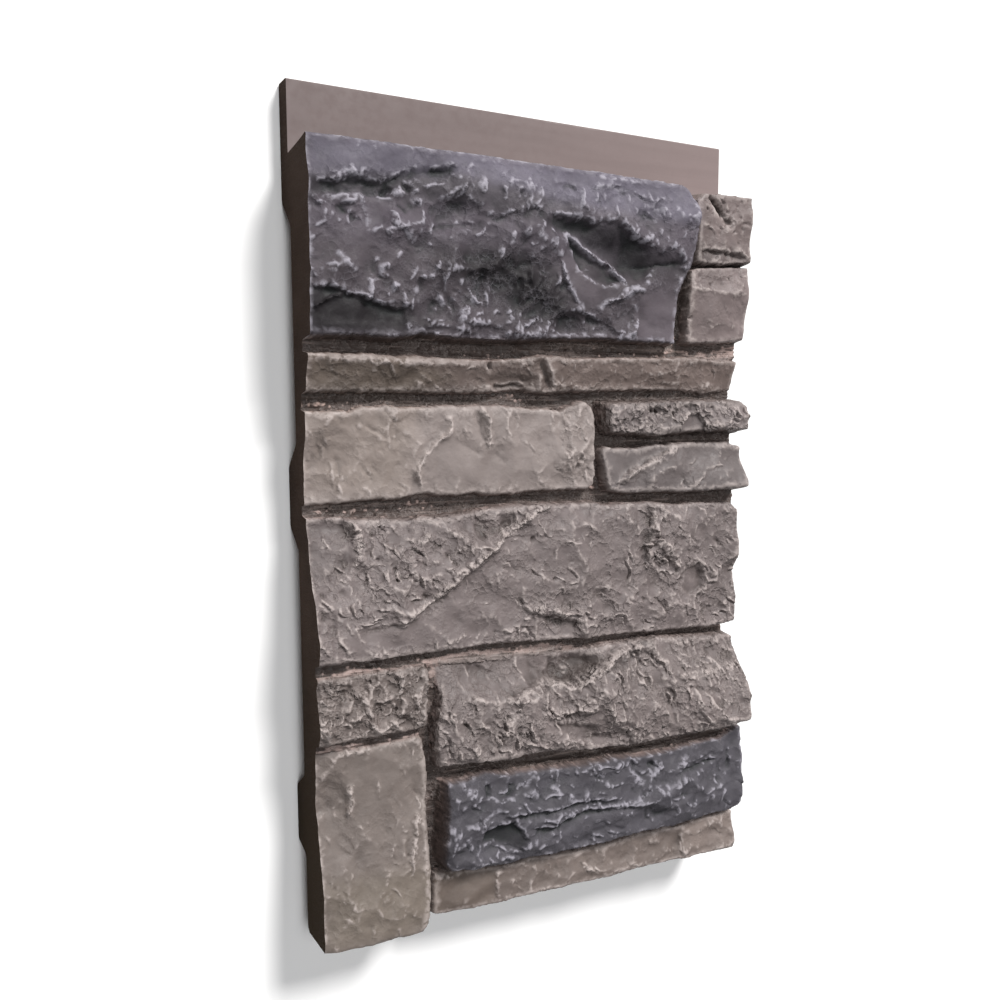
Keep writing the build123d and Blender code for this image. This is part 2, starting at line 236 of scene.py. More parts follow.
# --------------------------------------------- the faces of the stones, as in
# the CAD: stations along x, each the (y, z) points of the face from low to high
FACES = {
    # wide stone at the top left, leaning out over the flange line
    "A": [
        (0.0, [(235.6, 28.6), (246.0, 30.9), (262.0, 31.6), (277.0, 32.0), (284.0, 29.4), (291.0, 33.0), (302.5, 31.3), (305.8, 28.6)]),
        (30.0, [(236.6, 29.0), (247.0, 31.0), (262.0, 31.8), (276.0, 32.0), (284.5, 29.8), (291.5, 33.6), (302.5, 32.0), (306.0, 28.8)]),
        (62.0, [(237.0, 28.2), (247.0, 30.6), (262.0, 32.4), (276.0, 33.4), (285.0, 32.6), (293.0, 34.2), (302.5, 32.4), (306.0, 28.9)]),
        (100.0, [(238.2, 28.0), (248.0, 30.0), (262.0, 32.0), (276.0, 31.4), (285.0, 33.2), (293.0, 34.4), (302.5, 32.6), (306.0, 29.0)]),
        (135.0, [(239.0, 28.6), (247.0, 30.2), (258.0, 31.6), (270.0, 30.2), (282.0, 32.8), (292.0, 34.6), (302.0, 33.2), (306.0, 29.2)]),
        (160.0, [(239.2, 28.4), (247.0, 29.6), (257.0, 30.4), (268.0, 31.6), (281.0, 34.0), (291.0, 34.6), (301.0, 33.0), (305.6, 29.4)]),
        (168.0, [(240.5, 24.0), (248.0, 25.0), (257.0, 27.0), (268.0, 31.0), (281.0, 33.4), (291.0, 33.8), (300.0, 32.0), (304.6, 28.4)]),
        (176.0, [(262.0, 22.5), (264.0, 23.5), (268.0, 25.0), (274.0, 26.6), (283.0, 28.6), (290.0, 28.8), (296.0, 27.0), (300.0, 23.0)]),
    ],
    # small stone at the top right
    "A2": [
        (174.5, [(277.8, 25.0), (280.0, 29.6), (288.0, 30.6), (296.0, 30.8), (302.0, 30.0), (305.6, 26.0)]),
        (179.0, [(277.4, 27.0), (280.0, 30.8), (287.0, 31.4), (295.0, 31.6), (301.5, 31.0), (306.4, 28.2)]),
        (203.0, [(276.8, 28.6), (280.3, 32.1), (287.0, 31.8), (294.8, 33.5), (300.5, 32.4), (305.2, 31.4)]),
    ],
    "A3": [
        (169.0, [(239.6, 24.5), (243.0, 27.4), (252.0, 28.8), (261.0, 29.6), (265.0, 28.2), (270.0, 24.0)]),
        (173.0, [(239.8, 26.0), (243.0, 28.6), (252.0, 29.8), (262.0, 31.4), (266.0, 30.0), (271.5, 24.6)]),
        (203.0, [(240.6, 26.4), (244.0, 28.0), (253.0, 29.5), (262.8, 32.1), (267.0, 30.6), (272.8, 24.0)]),
    ],
    # thin stone right across
    "B": [
        (0.0, [(215.2, 21.6), (219.0, 23.4), (224.0, 25.8), (229.0, 27.7), (230.6, 26.0)]),
        (55.0, [(216.0, 21.0), (220.0, 23.4), (225.0, 25.4), (229.2, 27.0), (231.4, 24.6)]),
        (88.0, [(216.6, 20.4), (220.0, 22.2), (225.0, 24.8), (229.4, 26.4), (231.8, 24.4)]),
        (98.0, [(216.8, 23.4), (221.0, 26.4), (226.0, 28.4), (230.6, 28.4), (233.0, 25.4)]),
        (130.0, [(218.0, 20.4), (221.0, 22.6), (226.0, 25.0), (231.4, 26.6), (234.0, 24.2)]),
        (170.0, [(218.6, 19.6), (221.6, 22.0), (227.0, 24.2), (233.0, 26.0), (235.6, 23.4)]),
        (203.0, [(216.0, 17.6), (221.0, 19.6), (226.0, 21.8), (232.2, 24.8), (236.0, 22.8)]),
    ],
    # pale stone, middle left
    "C": [
        (0.0, [(173.6, 17.6), (175.4, 18.9), (182.0, 18.2), (190.0, 18.4), (199.0, 20.4), (206.0, 22.2), (208.4, 20.6)]),
        (22.0, [(173.6, 19.6), (176.0, 21.0), (184.0, 21.5), (192.0, 21.6), (200.0, 22.4), (207.0, 23.0), (209.8, 21.2)]),
        (60.0, [(174.8, 20.6), (177.0, 22.8), (185.0, 23.4), (192.0, 23.8), (200.0, 24.2), (208.4, 24.0), (211.6, 21.8)]),
        (100.0, [(176.0, 21.6), (178.4, 24.0), (185.0, 25.0), (192.0, 25.2), (200.0, 25.2), (207.6, 24.6), (210.8, 22.4)]),
        (119.0, [(176.2, 22.4), (179.0, 25.0), (185.0, 26.2), (192.0, 26.4), (200.0, 26.2), (209.0, 25.4), (213.0, 23.0)]),
        (124.5, [(178.0, 20.5), (181.0, 22.0), (186.0, 22.4), (193.0, 22.4), (200.0, 22.2), (206.0, 22.0), (210.6, 20.5)]),
    ],
    # two short stones, middle right
    "D1": [
        (130.0, [(202.0, 25.0), (204.0, 28.6), (207.0, 29.4), (210.0, 28.8), (212.4, 25.4)]),
        (134.0, [(201.2, 26.6), (203.6, 30.4), (207.0, 31.0), (211.0, 30.2), (213.6, 26.6)]),
        (168.0, [(200.4, 27.0), (203.0, 31.4), (207.0, 31.8), (211.6, 31.0), (214.6, 27.2)]),
        (203.0, [(201.4, 29.4), (202.6, 33.8), (206.6, 34.0), (211.0, 33.0), (214.4, 28.6)]),
    ],
    "D2": [
        (127.5, [(175.6, 22.0), (178.4, 24.6), (184.0, 24.8), (189.0, 24.4), (193.2, 22.0)]),
        (132.0, [(175.2, 24.0), (178.0, 27.0), (184.0, 27.4), (190.0, 26.6), (194.2, 23.4)]),
        (165.0, [(175.0, 26.6), (177.6, 30.0), (184.0, 29.2), (190.0, 28.0), (195.0, 24.0)]),
        (203.0, [(174.4, 30.6), (177.4, 35.4), (183.6, 31.3), (189.0, 28.1), (195.4, 23.0)]),
    ],
    # tall stone right across
    "E": [
        (0.0, [(112.0, 29.6), (115.0, 31.9), (123.0, 31.3), (130.0, 30.0), (138.0, 27.8), (148.0, 24.4), (158.0, 22.4), (164.5, 20.6), (168.2, 17.0)]),
        (28.0, [(112.4, 28.0), (115.4, 30.6), (123.0, 30.6), (131.0, 29.8), (140.0, 28.4), (149.0, 26.4), (158.0, 24.6), (164.5, 22.6), (168.0, 19.0)]),
        (60.0, [(113.2, 26.6), (116.4, 29.2), (124.0, 29.4), (132.0, 29.6), (141.0, 29.8), (150.0, 29.2), (158.0, 27.4), (164.5, 25.0), (168.2, 21.2)]),
        (100.0, [(113.6, 25.6), (116.6, 28.2), (124.0, 28.4), (132.0, 28.8), (141.0, 29.2), (150.0, 29.4), (158.0, 28.6), (165.0, 27.0), (170.0, 23.4)]),
        (150.0, [(111.8, 25.2), (115.0, 27.4), (123.0, 27.9), (131.0, 28.0), (140.0, 28.6), (149.0, 29.0), (158.0, 29.0), (165.0, 27.6), (170.0, 24.2)]),
        (203.0, [(110.8, 22.6), (114.4, 25.8), (121.0, 25.2), (129.0, 24.8), (138.0, 25.4), (147.0, 26.6), (157.0, 26.8), (164.0, 26.8), (169.0, 23.8)]),
    ],
    # small hammered stone, lower left
    "F": [
        (0.0, [(82.2, 27.6), (85.0, 29.6), (91.0, 29.1), (98.0, 28.6), (104.0, 28.6), (108.6, 27.6)]),
        (22.0, [(82.8, 27.4), (86.0, 29.7), (92.0, 29.0), (98.0, 28.9), (104.0, 28.6), (109.0, 26.6)]),
        (41.0, [(82.8, 27.0), (86.0, 29.2), (92.0, 29.4), (98.0, 29.4), (104.0, 29.0), (108.8, 26.6)]),
        (46.5, [(85.4, 23.0), (88.0, 24.0), (93.0, 24.4), (98.0, 24.4), (103.0, 24.0), (106.4, 23.0)]),
    ],
    # tall stone at the bottom left, its foot a little below the rest
    "H": [
        (0.0, [(1.2, 33.6), (5.0, 30.4), (12.0, 31.0), (20.0, 29.7), (32.0, 28.8), (45.0, 25.8), (58.0, 23.6), (68.0, 23.2), (76.0, 24.2), (79.4, 23.2)]),
        (20.0, [(0.0, 30.4), (5.0, 33.0), (12.0, 32.4), (20.0, 31.2), (32.0, 30.2), (45.0, 28.0), (58.0, 26.6), (68.0, 26.2), (76.0, 26.2), (79.6, 24.4)]),
        (40.0, [(0.6, 29.6), (5.4, 32.6), (12.0, 32.4), (20.0, 31.6), (32.0, 31.0), (45.0, 29.6), (58.0, 28.6), (68.0, 28.0), (76.0, 27.4), (80.2, 25.0)]),
        (46.5, [(5.0, 22.0), (9.0, 26.0), (14.0, 26.8), (21.0, 27.2), (32.0, 27.0), (45.0, 26.4), (58.0, 25.6), (67.0, 25.0), (73.0, 24.4), (76.6, 23.0)]),
    ],
    # broken stone, lower right, thickest at its right end
    "G": [
        (48.8, [(66.4, 25.0), (69.0, 27.0), (76.0, 27.6), (85.0, 27.6), (93.0, 27.0), (98.0, 25.4), (102.0, 23.8), (104.4, 22.4)]),
        (53.5, [(65.0, 28.0), (68.0, 31.0), (76.0, 32.0), (85.0, 32.4), (93.0, 31.4), (99.0, 28.0), (104.0, 25.0), (109.6, 22.4)]),
        (85.0, [(63.4, 28.6), (66.6, 31.6), (75.0, 33.0), (84.0, 33.4), (91.0, 32.0), (96.0, 27.6), (102.0, 24.4), (109.6, 21.4)]),
        (112.0, [(64.0, 28.6), (67.2, 31.6), (75.0, 33.6), (84.0, 34.2), (91.0, 33.0), (95.6, 27.0), (101.0, 23.4), (108.8, 20.4)]),
        (130.0, [(64.2, 29.0), (67.4, 32.0), (75.0, 34.4), (83.0, 35.2), (90.0, 35.0), (96.0, 33.6), (102.0, 30.0), (108.6, 21.4)]),
        (160.0, [(64.0, 30.0), (67.0, 33.4), (74.0, 36.4), (81.0, 37.0), (88.0, 35.8), (95.0, 32.6), (103.0, 28.4), (109.0, 21.0)]),
        (203.0, [(64.4, 30.0), (68.0, 39.6), (70.4, 40.5), (75.0, 38.8), (80.0, 39.6), (89.0, 35.1), (98.5, 25.4), (105.6, 19.0)]),
    ],
    # dark ledged stone, lower right
    "I": [
        (52.0, [(26.0, 24.0), (28.6, 27.6), (35.0, 28.6), (43.0, 28.6), (50.0, 28.2), (56.0, 26.4), (58.6, 24.0)]),
        (56.5, [(23.6, 26.0), (26.6, 31.6), (34.0, 33.0), (42.0, 33.0), (50.0, 32.4), (57.0, 30.0), (60.4, 26.0)]),
        (85.0, [(20.4, 26.2), (23.6, 31.8), (32.0, 33.6), (41.0, 33.6), (49.0, 32.8), (56.4, 30.2), (60.0, 25.6)]),
        (115.0, [(20.6, 26.2), (23.8, 32.2), (32.0, 34.2), (41.0, 33.8), (49.0, 33.2), (55.8, 30.8), (59.4, 26.0)]),
        (150.0, [(22.0, 26.4), (25.0, 32.4), (33.0, 34.8), (41.0, 34.4), (49.0, 33.8), (56.2, 31.6), (60.0, 26.8)]),
        (203.0, [(20.8, 25.6), (25.4, 31.8), (31.7, 35.9), (38.0, 35.7), (46.0, 34.8), (56.3, 32.6), (63.4, 29.4)]),
    ],
    # low strip under it
    "J": [
        (46.0, [(2.0, 24.4), (8.0, 25.0), (15.0, 25.0), (24.0, 24.2)]),
        (80.0, [(0.8, 26.0), (7.0, 27.4), (14.0, 27.0), (21.0, 25.4)]),
        (120.0, [(0.8, 26.4), (7.0, 27.8), (14.0, 27.2), (21.4, 25.4)]),
        (160.0, [(1.4, 27.0), (7.0, 28.4), (14.0, 27.6), (22.6, 25.8)]),
        (203.0, [(1.0, 27.0), (5.0, 29.4), (12.0, 27.9), (20.6, 24.6)]),
    ],
}

# outlines of the stones, in the same millimetres; runs past the saw cuts and
# the top edge are cut off by them
OUTLINES = {
    "A": [(-8.0, 306.3), (-0.6, 306.3), (5.0, 306.2), (10.5, 306.4), (16.1, 306.3), (21.7, 306.1), (27.4, 306.3), (31.3, 306.4), (35.2, 306.2), (41.2, 306.0), (47.2, 306.2), (53.3, 306.3), (59.5, 306.1), (65.8, 306.3), (72.2, 306.4), (76.5, 306.3), (83.1, 306.2), (89.8, 306.0), (96.6, 306.1), (103.4, 306.1), (110.4, 305.9), (117.4, 305.8), (122.2, 305.7), (129.4, 305.7), (136.8, 305.5), (144.4, 305.6), (152.1, 305.5), (158.9, 305.6), (164.2, 305.8), (167.4, 304.7), (169.6, 302.9), (171.2, 300.6), (172.4, 296.8), (172.9, 293.5), (172.4, 286.7), (172.0, 279.7), (170.7, 274.3), (169.4, 270.5), (168.3, 267.1), (166.6, 264.2), (165.2, 261.2), (164.4, 257.4), (164.3, 250.9), (164.1, 244.5), (164.2, 238.8), (153.1, 239.1), (145.1, 238.9), (137.3, 238.8), (130.6, 239.3), (124.7, 239.3), (114.9, 238.7), (105.3, 238.7), (98.2, 238.0), (86.5, 237.1), (77.4, 236.9), (68.5, 236.9), (57.6, 236.6), (51.2, 237.5), (42.8, 237.6), (34.6, 236.0), (28.6, 235.9), (22.6, 236.2), (14.9, 236.2), (7.2, 235.7), (-0.6, 235.5), (-8.0, 235.5)],
    "A2": [(174.2, 274.0), (175.1, 279.1), (174.6, 289.5), (173.7, 297.8), (173.3, 303.7), (177.6, 304.6), (185.1, 304.9), (193.6, 304.8), (202.3, 304.8), (210.9, 304.8), (210.9, 275.2), (197.9, 275.2), (189.3, 274.0), (181.2, 273.9), (176.4, 273.7)],
    "A3": [(171.2, 239.8), (171.0, 249.2), (170.5, 257.5), (171.0, 264.4), (171.6, 270.1), (176.4, 271.7), (187.4, 272.5), (196.8, 273.4), (210.9, 273.4), (210.9, 241.9), (202.2, 241.9), (192.8, 240.6), (181.3, 239.9), (172.9, 239.3)],
    "B": [(-8.0, 229.2), (-0.1, 229.2), (8.2, 229.5), (16.0, 229.6), (23.9, 229.7), (29.9, 229.4), (36.0, 229.2), (44.3, 229.4), (57.1, 229.2), (65.9, 229.0), (74.9, 228.9), (86.3, 229.8), (92.7, 230.6), (99.2, 231.6), (106.6, 231.4), (114.1, 230.7), (121.8, 231.2), (132.1, 231.8), (147.8, 232.3), (164.0, 232.9), (175.2, 233.5), (183.8, 233.2), (192.7, 232.6), (202.3, 232.7), (210.9, 232.7), (210.9, 219.8), (202.3, 219.8), (194.2, 218.7), (186.3, 217.9), (179.0, 219.1), (173.0, 219.2), (156.3, 219.0), (140.2, 218.5), (129.8, 218.3), (118.9, 217.6), (108.3, 217.2), (100.5, 216.6), (94.2, 217.3), (88.5, 217.7), (81.5, 217.0), (72.3, 216.2), (61.0, 216.0), (50.1, 215.9), (37.4, 216.1), (27.2, 215.9), (17.2, 215.9), (7.4, 215.7), (-1.0, 215.2), (-8.0, 215.2)],
    "C": [(-8.0, 208.1), (-0.0, 208.1), (5.6, 208.0), (11.4, 208.2), (15.3, 208.4), (17.2, 207.9), (19.6, 209.2), (22.0, 210.2), (25.2, 209.9), (29.2, 210.3), (32.4, 210.9), (37.3, 210.0), (43.5, 209.9), (49.8, 210.3), (58.4, 211.0), (64.9, 210.5), (71.5, 211.2), (76.0, 211.0), (80.5, 211.5), (85.1, 210.7), (89.7, 210.4), (96.7, 209.8), (103.7, 210.1), (109.4, 209.4), (111.8, 210.6), (115.6, 211.9), (119.0, 213.2), (122.0, 213.2), (124.0, 211.6), (125.0, 209.1), (125.4, 205.7), (125.3, 199.4), (125.5, 193.9), (125.4, 188.0), (125.6, 182.5), (125.0, 178.2), (122.5, 176.5), (116.1, 176.5), (108.9, 176.4), (101.8, 176.4), (94.7, 176.3), (87.7, 175.3), (80.8, 175.1), (74.1, 175.4), (69.6, 176.2), (63.0, 175.5), (58.6, 175.6), (54.3, 175.4), (50.1, 176.6), (45.8, 176.4), (42.5, 175.7), (37.5, 174.6), (33.4, 174.3), (29.3, 174.8), (25.2, 174.6), (19.3, 174.3), (15.4, 173.7), (11.5, 173.4), (5.8, 173.2), (0.1, 172.9), (-8.0, 172.9)],
    "D1": [(130.9, 201.1), (129.6, 205.7), (129.5, 209.9), (130.4, 212.4), (135.0, 212.7), (142.6, 213.0), (150.3, 213.5), (160.8, 213.8), (171.4, 214.2), (184.7, 214.4), (195.7, 214.3), (199.5, 214.1), (202.9, 212.4), (210.9, 212.4), (210.9, 201.6), (203.2, 201.6), (195.4, 202.0), (187.3, 201.6), (181.9, 201.1), (176.6, 201.1), (171.4, 200.7), (163.4, 200.2), (155.5, 199.2), (150.3, 199.6), (145.1, 200.0), (137.5, 200.2), (131.9, 200.4)],
    "D2": [(132.9, 175.5), (131.4, 178.5), (130.4, 182.4), (130.0, 186.3), (128.9, 189.7), (128.4, 193.1), (131.0, 194.1), (137.5, 193.8), (143.6, 193.6), (150.3, 194.2), (155.4, 195.0), (163.3, 195.4), (174.3, 196.1), (185.6, 196.2), (195.9, 196.2), (198.9, 195.3), (200.7, 194.4), (210.9, 194.4), (210.9, 175.9), (202.6, 175.9), (195.3, 175.3), (187.6, 175.0), (180.0, 174.5), (172.4, 174.4), (164.9, 174.6), (157.3, 174.5), (147.2, 174.3), (139.8, 174.5)],
    "E": [(-8.0, 168.2), (-0.9, 168.2), (5.1, 168.0), (12.9, 168.1), (17.5, 167.2), (24.6, 166.9), (30.7, 167.3), (36.7, 166.5), (41.6, 166.3), (47.0, 167.2), (53.3, 166.9), (59.7, 167.3), (66.2, 168.1), (70.6, 168.8), (79.5, 169.9), (88.5, 170.7), (97.8, 170.8), (107.3, 170.5), (117.1, 170.6), (126.1, 170.6), (128.2, 169.7), (133.3, 169.3), (140.0, 169.9), (153.2, 170.0), (161.5, 169.2), (167.1, 168.4), (175.5, 169.0), (190.0, 169.0), (199.5, 168.5), (202.3, 165.8), (210.9, 165.8), (210.9, 112.7), (202.0, 112.7), (195.3, 111.5), (189.2, 111.3), (183.2, 111.6), (176.7, 111.6), (166.8, 112.0), (157.2, 112.0), (148.8, 112.2), (138.3, 112.3), (129.0, 112.3), (120.2, 112.4), (107.0, 113.1), (99.5, 113.4), (94.1, 113.5), (87.3, 114.0), (77.8, 114.5), (73.1, 114.3), (68.5, 114.2), (61.6, 114.1), (54.8, 114.0), (45.9, 113.7), (39.4, 113.9), (32.9, 113.8), (26.6, 113.5), (20.3, 113.2), (14.2, 113.5), (10.1, 113.4), (4.1, 113.4), (-0.0, 113.3), (-8.0, 113.3)],
    "F": [(-8.0, 108.0), (-0.0, 108.0), (3.1, 107.9), (9.0, 107.8), (13.8, 107.8), (19.1, 108.2), (25.2, 108.3), (31.4, 108.7), (37.7, 108.8), (41.9, 109.2), (44.1, 108.5), (45.4, 107.0), (46.0, 104.5), (45.8, 98.9), (45.2, 93.7), (45.0, 88.8), (44.6, 85.2), (43.2, 83.8), (40.6, 83.1), (33.7, 83.1), (26.5, 83.1), (18.6, 82.9), (14.1, 82.5), (8.9, 82.3), (4.1, 82.2), (-0.0, 82.0), (-8.0, 82.0)],
    "G": [(49.2, 66.9), (49.1, 70.3), (48.4, 76.8), (48.3, 85.1), (49.6, 90.1), (50.6, 94.5), (50.5, 97.4), (49.7, 100.8), (49.3, 104.2), (49.8, 107.8), (52.4, 108.3), (56.9, 108.2), (63.7, 107.9), (70.6, 107.6), (77.7, 107.7), (84.3, 107.6), (89.7, 107.7), (97.1, 107.5), (104.7, 107.3), (114.3, 107.3), (122.6, 107.9), (131.2, 108.9), (139.4, 108.9), (147.7, 109.2), (156.2, 109.2), (164.9, 108.7), (176.9, 108.2), (187.3, 107.5), (194.8, 107.2), (200.0, 106.0), (210.9, 106.0), (210.9, 68.1), (202.8, 68.1), (197.6, 67.4), (194.0, 66.3), (187.2, 65.6), (180.4, 65.4), (171.7, 64.9), (162.6, 64.4), (153.7, 63.7), (145.8, 63.3), (138.0, 63.0), (130.3, 63.6), (120.1, 64.1), (110.0, 65.1), (100.1, 66.2), (92.3, 66.4), (85.5, 65.7), (76.2, 65.8), (67.0, 66.3), (58.5, 66.8), (53.6, 66.7)],
    "H": [(-8.0, 79.0), (0.3, 79.0), (5.7, 79.3), (13.5, 78.6), (19.9, 78.6), (26.4, 78.6), (33.8, 79.2), (39.2, 79.6), (42.7, 79.9), (43.5, 77.5), (44.3, 73.4), (44.7, 69.2), (45.2, 63.9), (44.7, 57.9), (44.2, 51.8), (44.1, 45.8), (44.4, 39.7), (44.7, 33.5), (44.9, 26.1), (44.8, 17.9), (44.4, 11.1), (44.0, 5.3), (43.3, 2.5), (42.4, 1.0), (40.7, -0.3), (36.0, -0.6), (30.2, -0.2), (23.7, -0.5), (18.3, -0.7), (15.9, -0.4), (11.6, -0.8), (6.5, -1.3), (1.9, -0.8), (0.3, -0.5), (-8.0, -0.5)],
    "I": [(52.0, 24.8), (51.1, 27.6), (51.1, 33.0), (51.8, 39.2), (52.4, 45.3), (53.0, 51.2), (53.2, 55.0), (53.1, 59.0), (56.7, 59.2), (60.8, 59.4), (66.2, 60.2), (72.2, 60.8), (76.9, 59.6), (79.2, 59.0), (86.3, 58.8), (93.0, 58.6), (100.7, 58.3), (110.1, 57.8), (118.1, 57.9), (127.3, 57.5), (132.0, 58.6), (136.1, 58.2), (144.1, 57.3), (152.1, 57.1), (164.2, 57.2), (171.4, 58.5), (177.0, 58.7), (182.7, 59.3), (190.8, 59.6), (195.5, 61.8), (200.7, 63.8), (210.9, 63.8), (210.9, 24.9), (202.5, 24.9), (197.0, 23.7), (192.8, 23.5), (188.9, 23.7), (180.8, 23.2), (175.0, 22.9), (169.2, 22.1), (163.4, 21.9), (154.9, 22.4), (146.6, 22.5), (138.5, 22.2), (130.6, 21.4), (126.9, 20.9), (120.1, 21.1), (112.5, 20.7), (104.9, 21.1), (97.5, 21.4), (92.1, 21.5), (85.4, 21.5), (80.1, 20.8), (72.6, 21.5), (66.6, 21.8), (59.7, 22.4), (54.3, 23.0)],
    "J": [(48.3, 2.1), (48.1, 7.3), (48.2, 13.7), (48.7, 21.3), (57.1, 20.3), (62.9, 19.5), (69.2, 19.0), (75.2, 18.7), (82.7, 18.4), (94.9, 18.8), (100.4, 18.6), (107.9, 18.3), (115.6, 18.1), (123.4, 18.2), (133.9, 18.5), (142.0, 19.3), (150.2, 19.7), (158.5, 19.6), (167.0, 19.2), (178.5, 20.0), (184.4, 20.6), (192.1, 21.0), (199.3, 21.7), (200.5, 21.4), (210.9, 21.4), (210.9, 2.6), (202.8, 2.6), (195.6, 2.2), (187.9, 2.1), (180.9, 2.0), (172.9, 2.1), (163.8, 2.2), (153.2, 2.4), (142.8, 2.3), (136.3, 1.7), (129.9, 1.4), (123.1, 1.4), (116.4, 1.4), (107.7, 1.4), (99.1, 1.4), (92.7, 1.5), (85.3, 1.3), (78.2, 1.0), (73.6, 0.8), (66.7, 1.0), (60.0, 1.3), (53.3, 1.1)],
}

BED_Y = [1.4, 22.0, 62.0, 81.0, 110.0, 140.0, 171.0, 199.0, 214.0, 238.0, 275.0, 303.0]
BED_X = [0.0, 60.0, 130.0, 203.0]
BED_Z = [
    [17.0, 19.0, 22.0, 24.8, 26.3, 20.0, 14.6, 16.0, 17.0, 21.0, 22.0, 20.0],
    [17.5, 20.0, 20.5, 22.5, 24.0, 20.0, 16.0, 17.0, 17.5, 21.0, 22.0, 20.0],
    [18.0, 21.0, 22.0, 21.5, 20.5, 20.0, 19.0, 19.5, 18.0, 21.5, 22.5, 20.5],
    [18.0, 23.5, 27.0, 22.0, 16.2, 19.0, 22.6, 19.8, 17.0, 22.0, 23.2, 21.0],
]

# moulded back, (y, z) from the bottom edge up
BACK = [
    (0.9, 11.5), (2.5, 9.5), (33.0, 9.5), (36.6, 0.0), (59.3, 0.0), (65.8, 10.0),
    (155.0, 10.0), (164.0, 0.0), (187.0, 0.0), (196.0, 10.0), (277.0, 10.0), (287.0, 0.0), (330.0, 0.0),
]

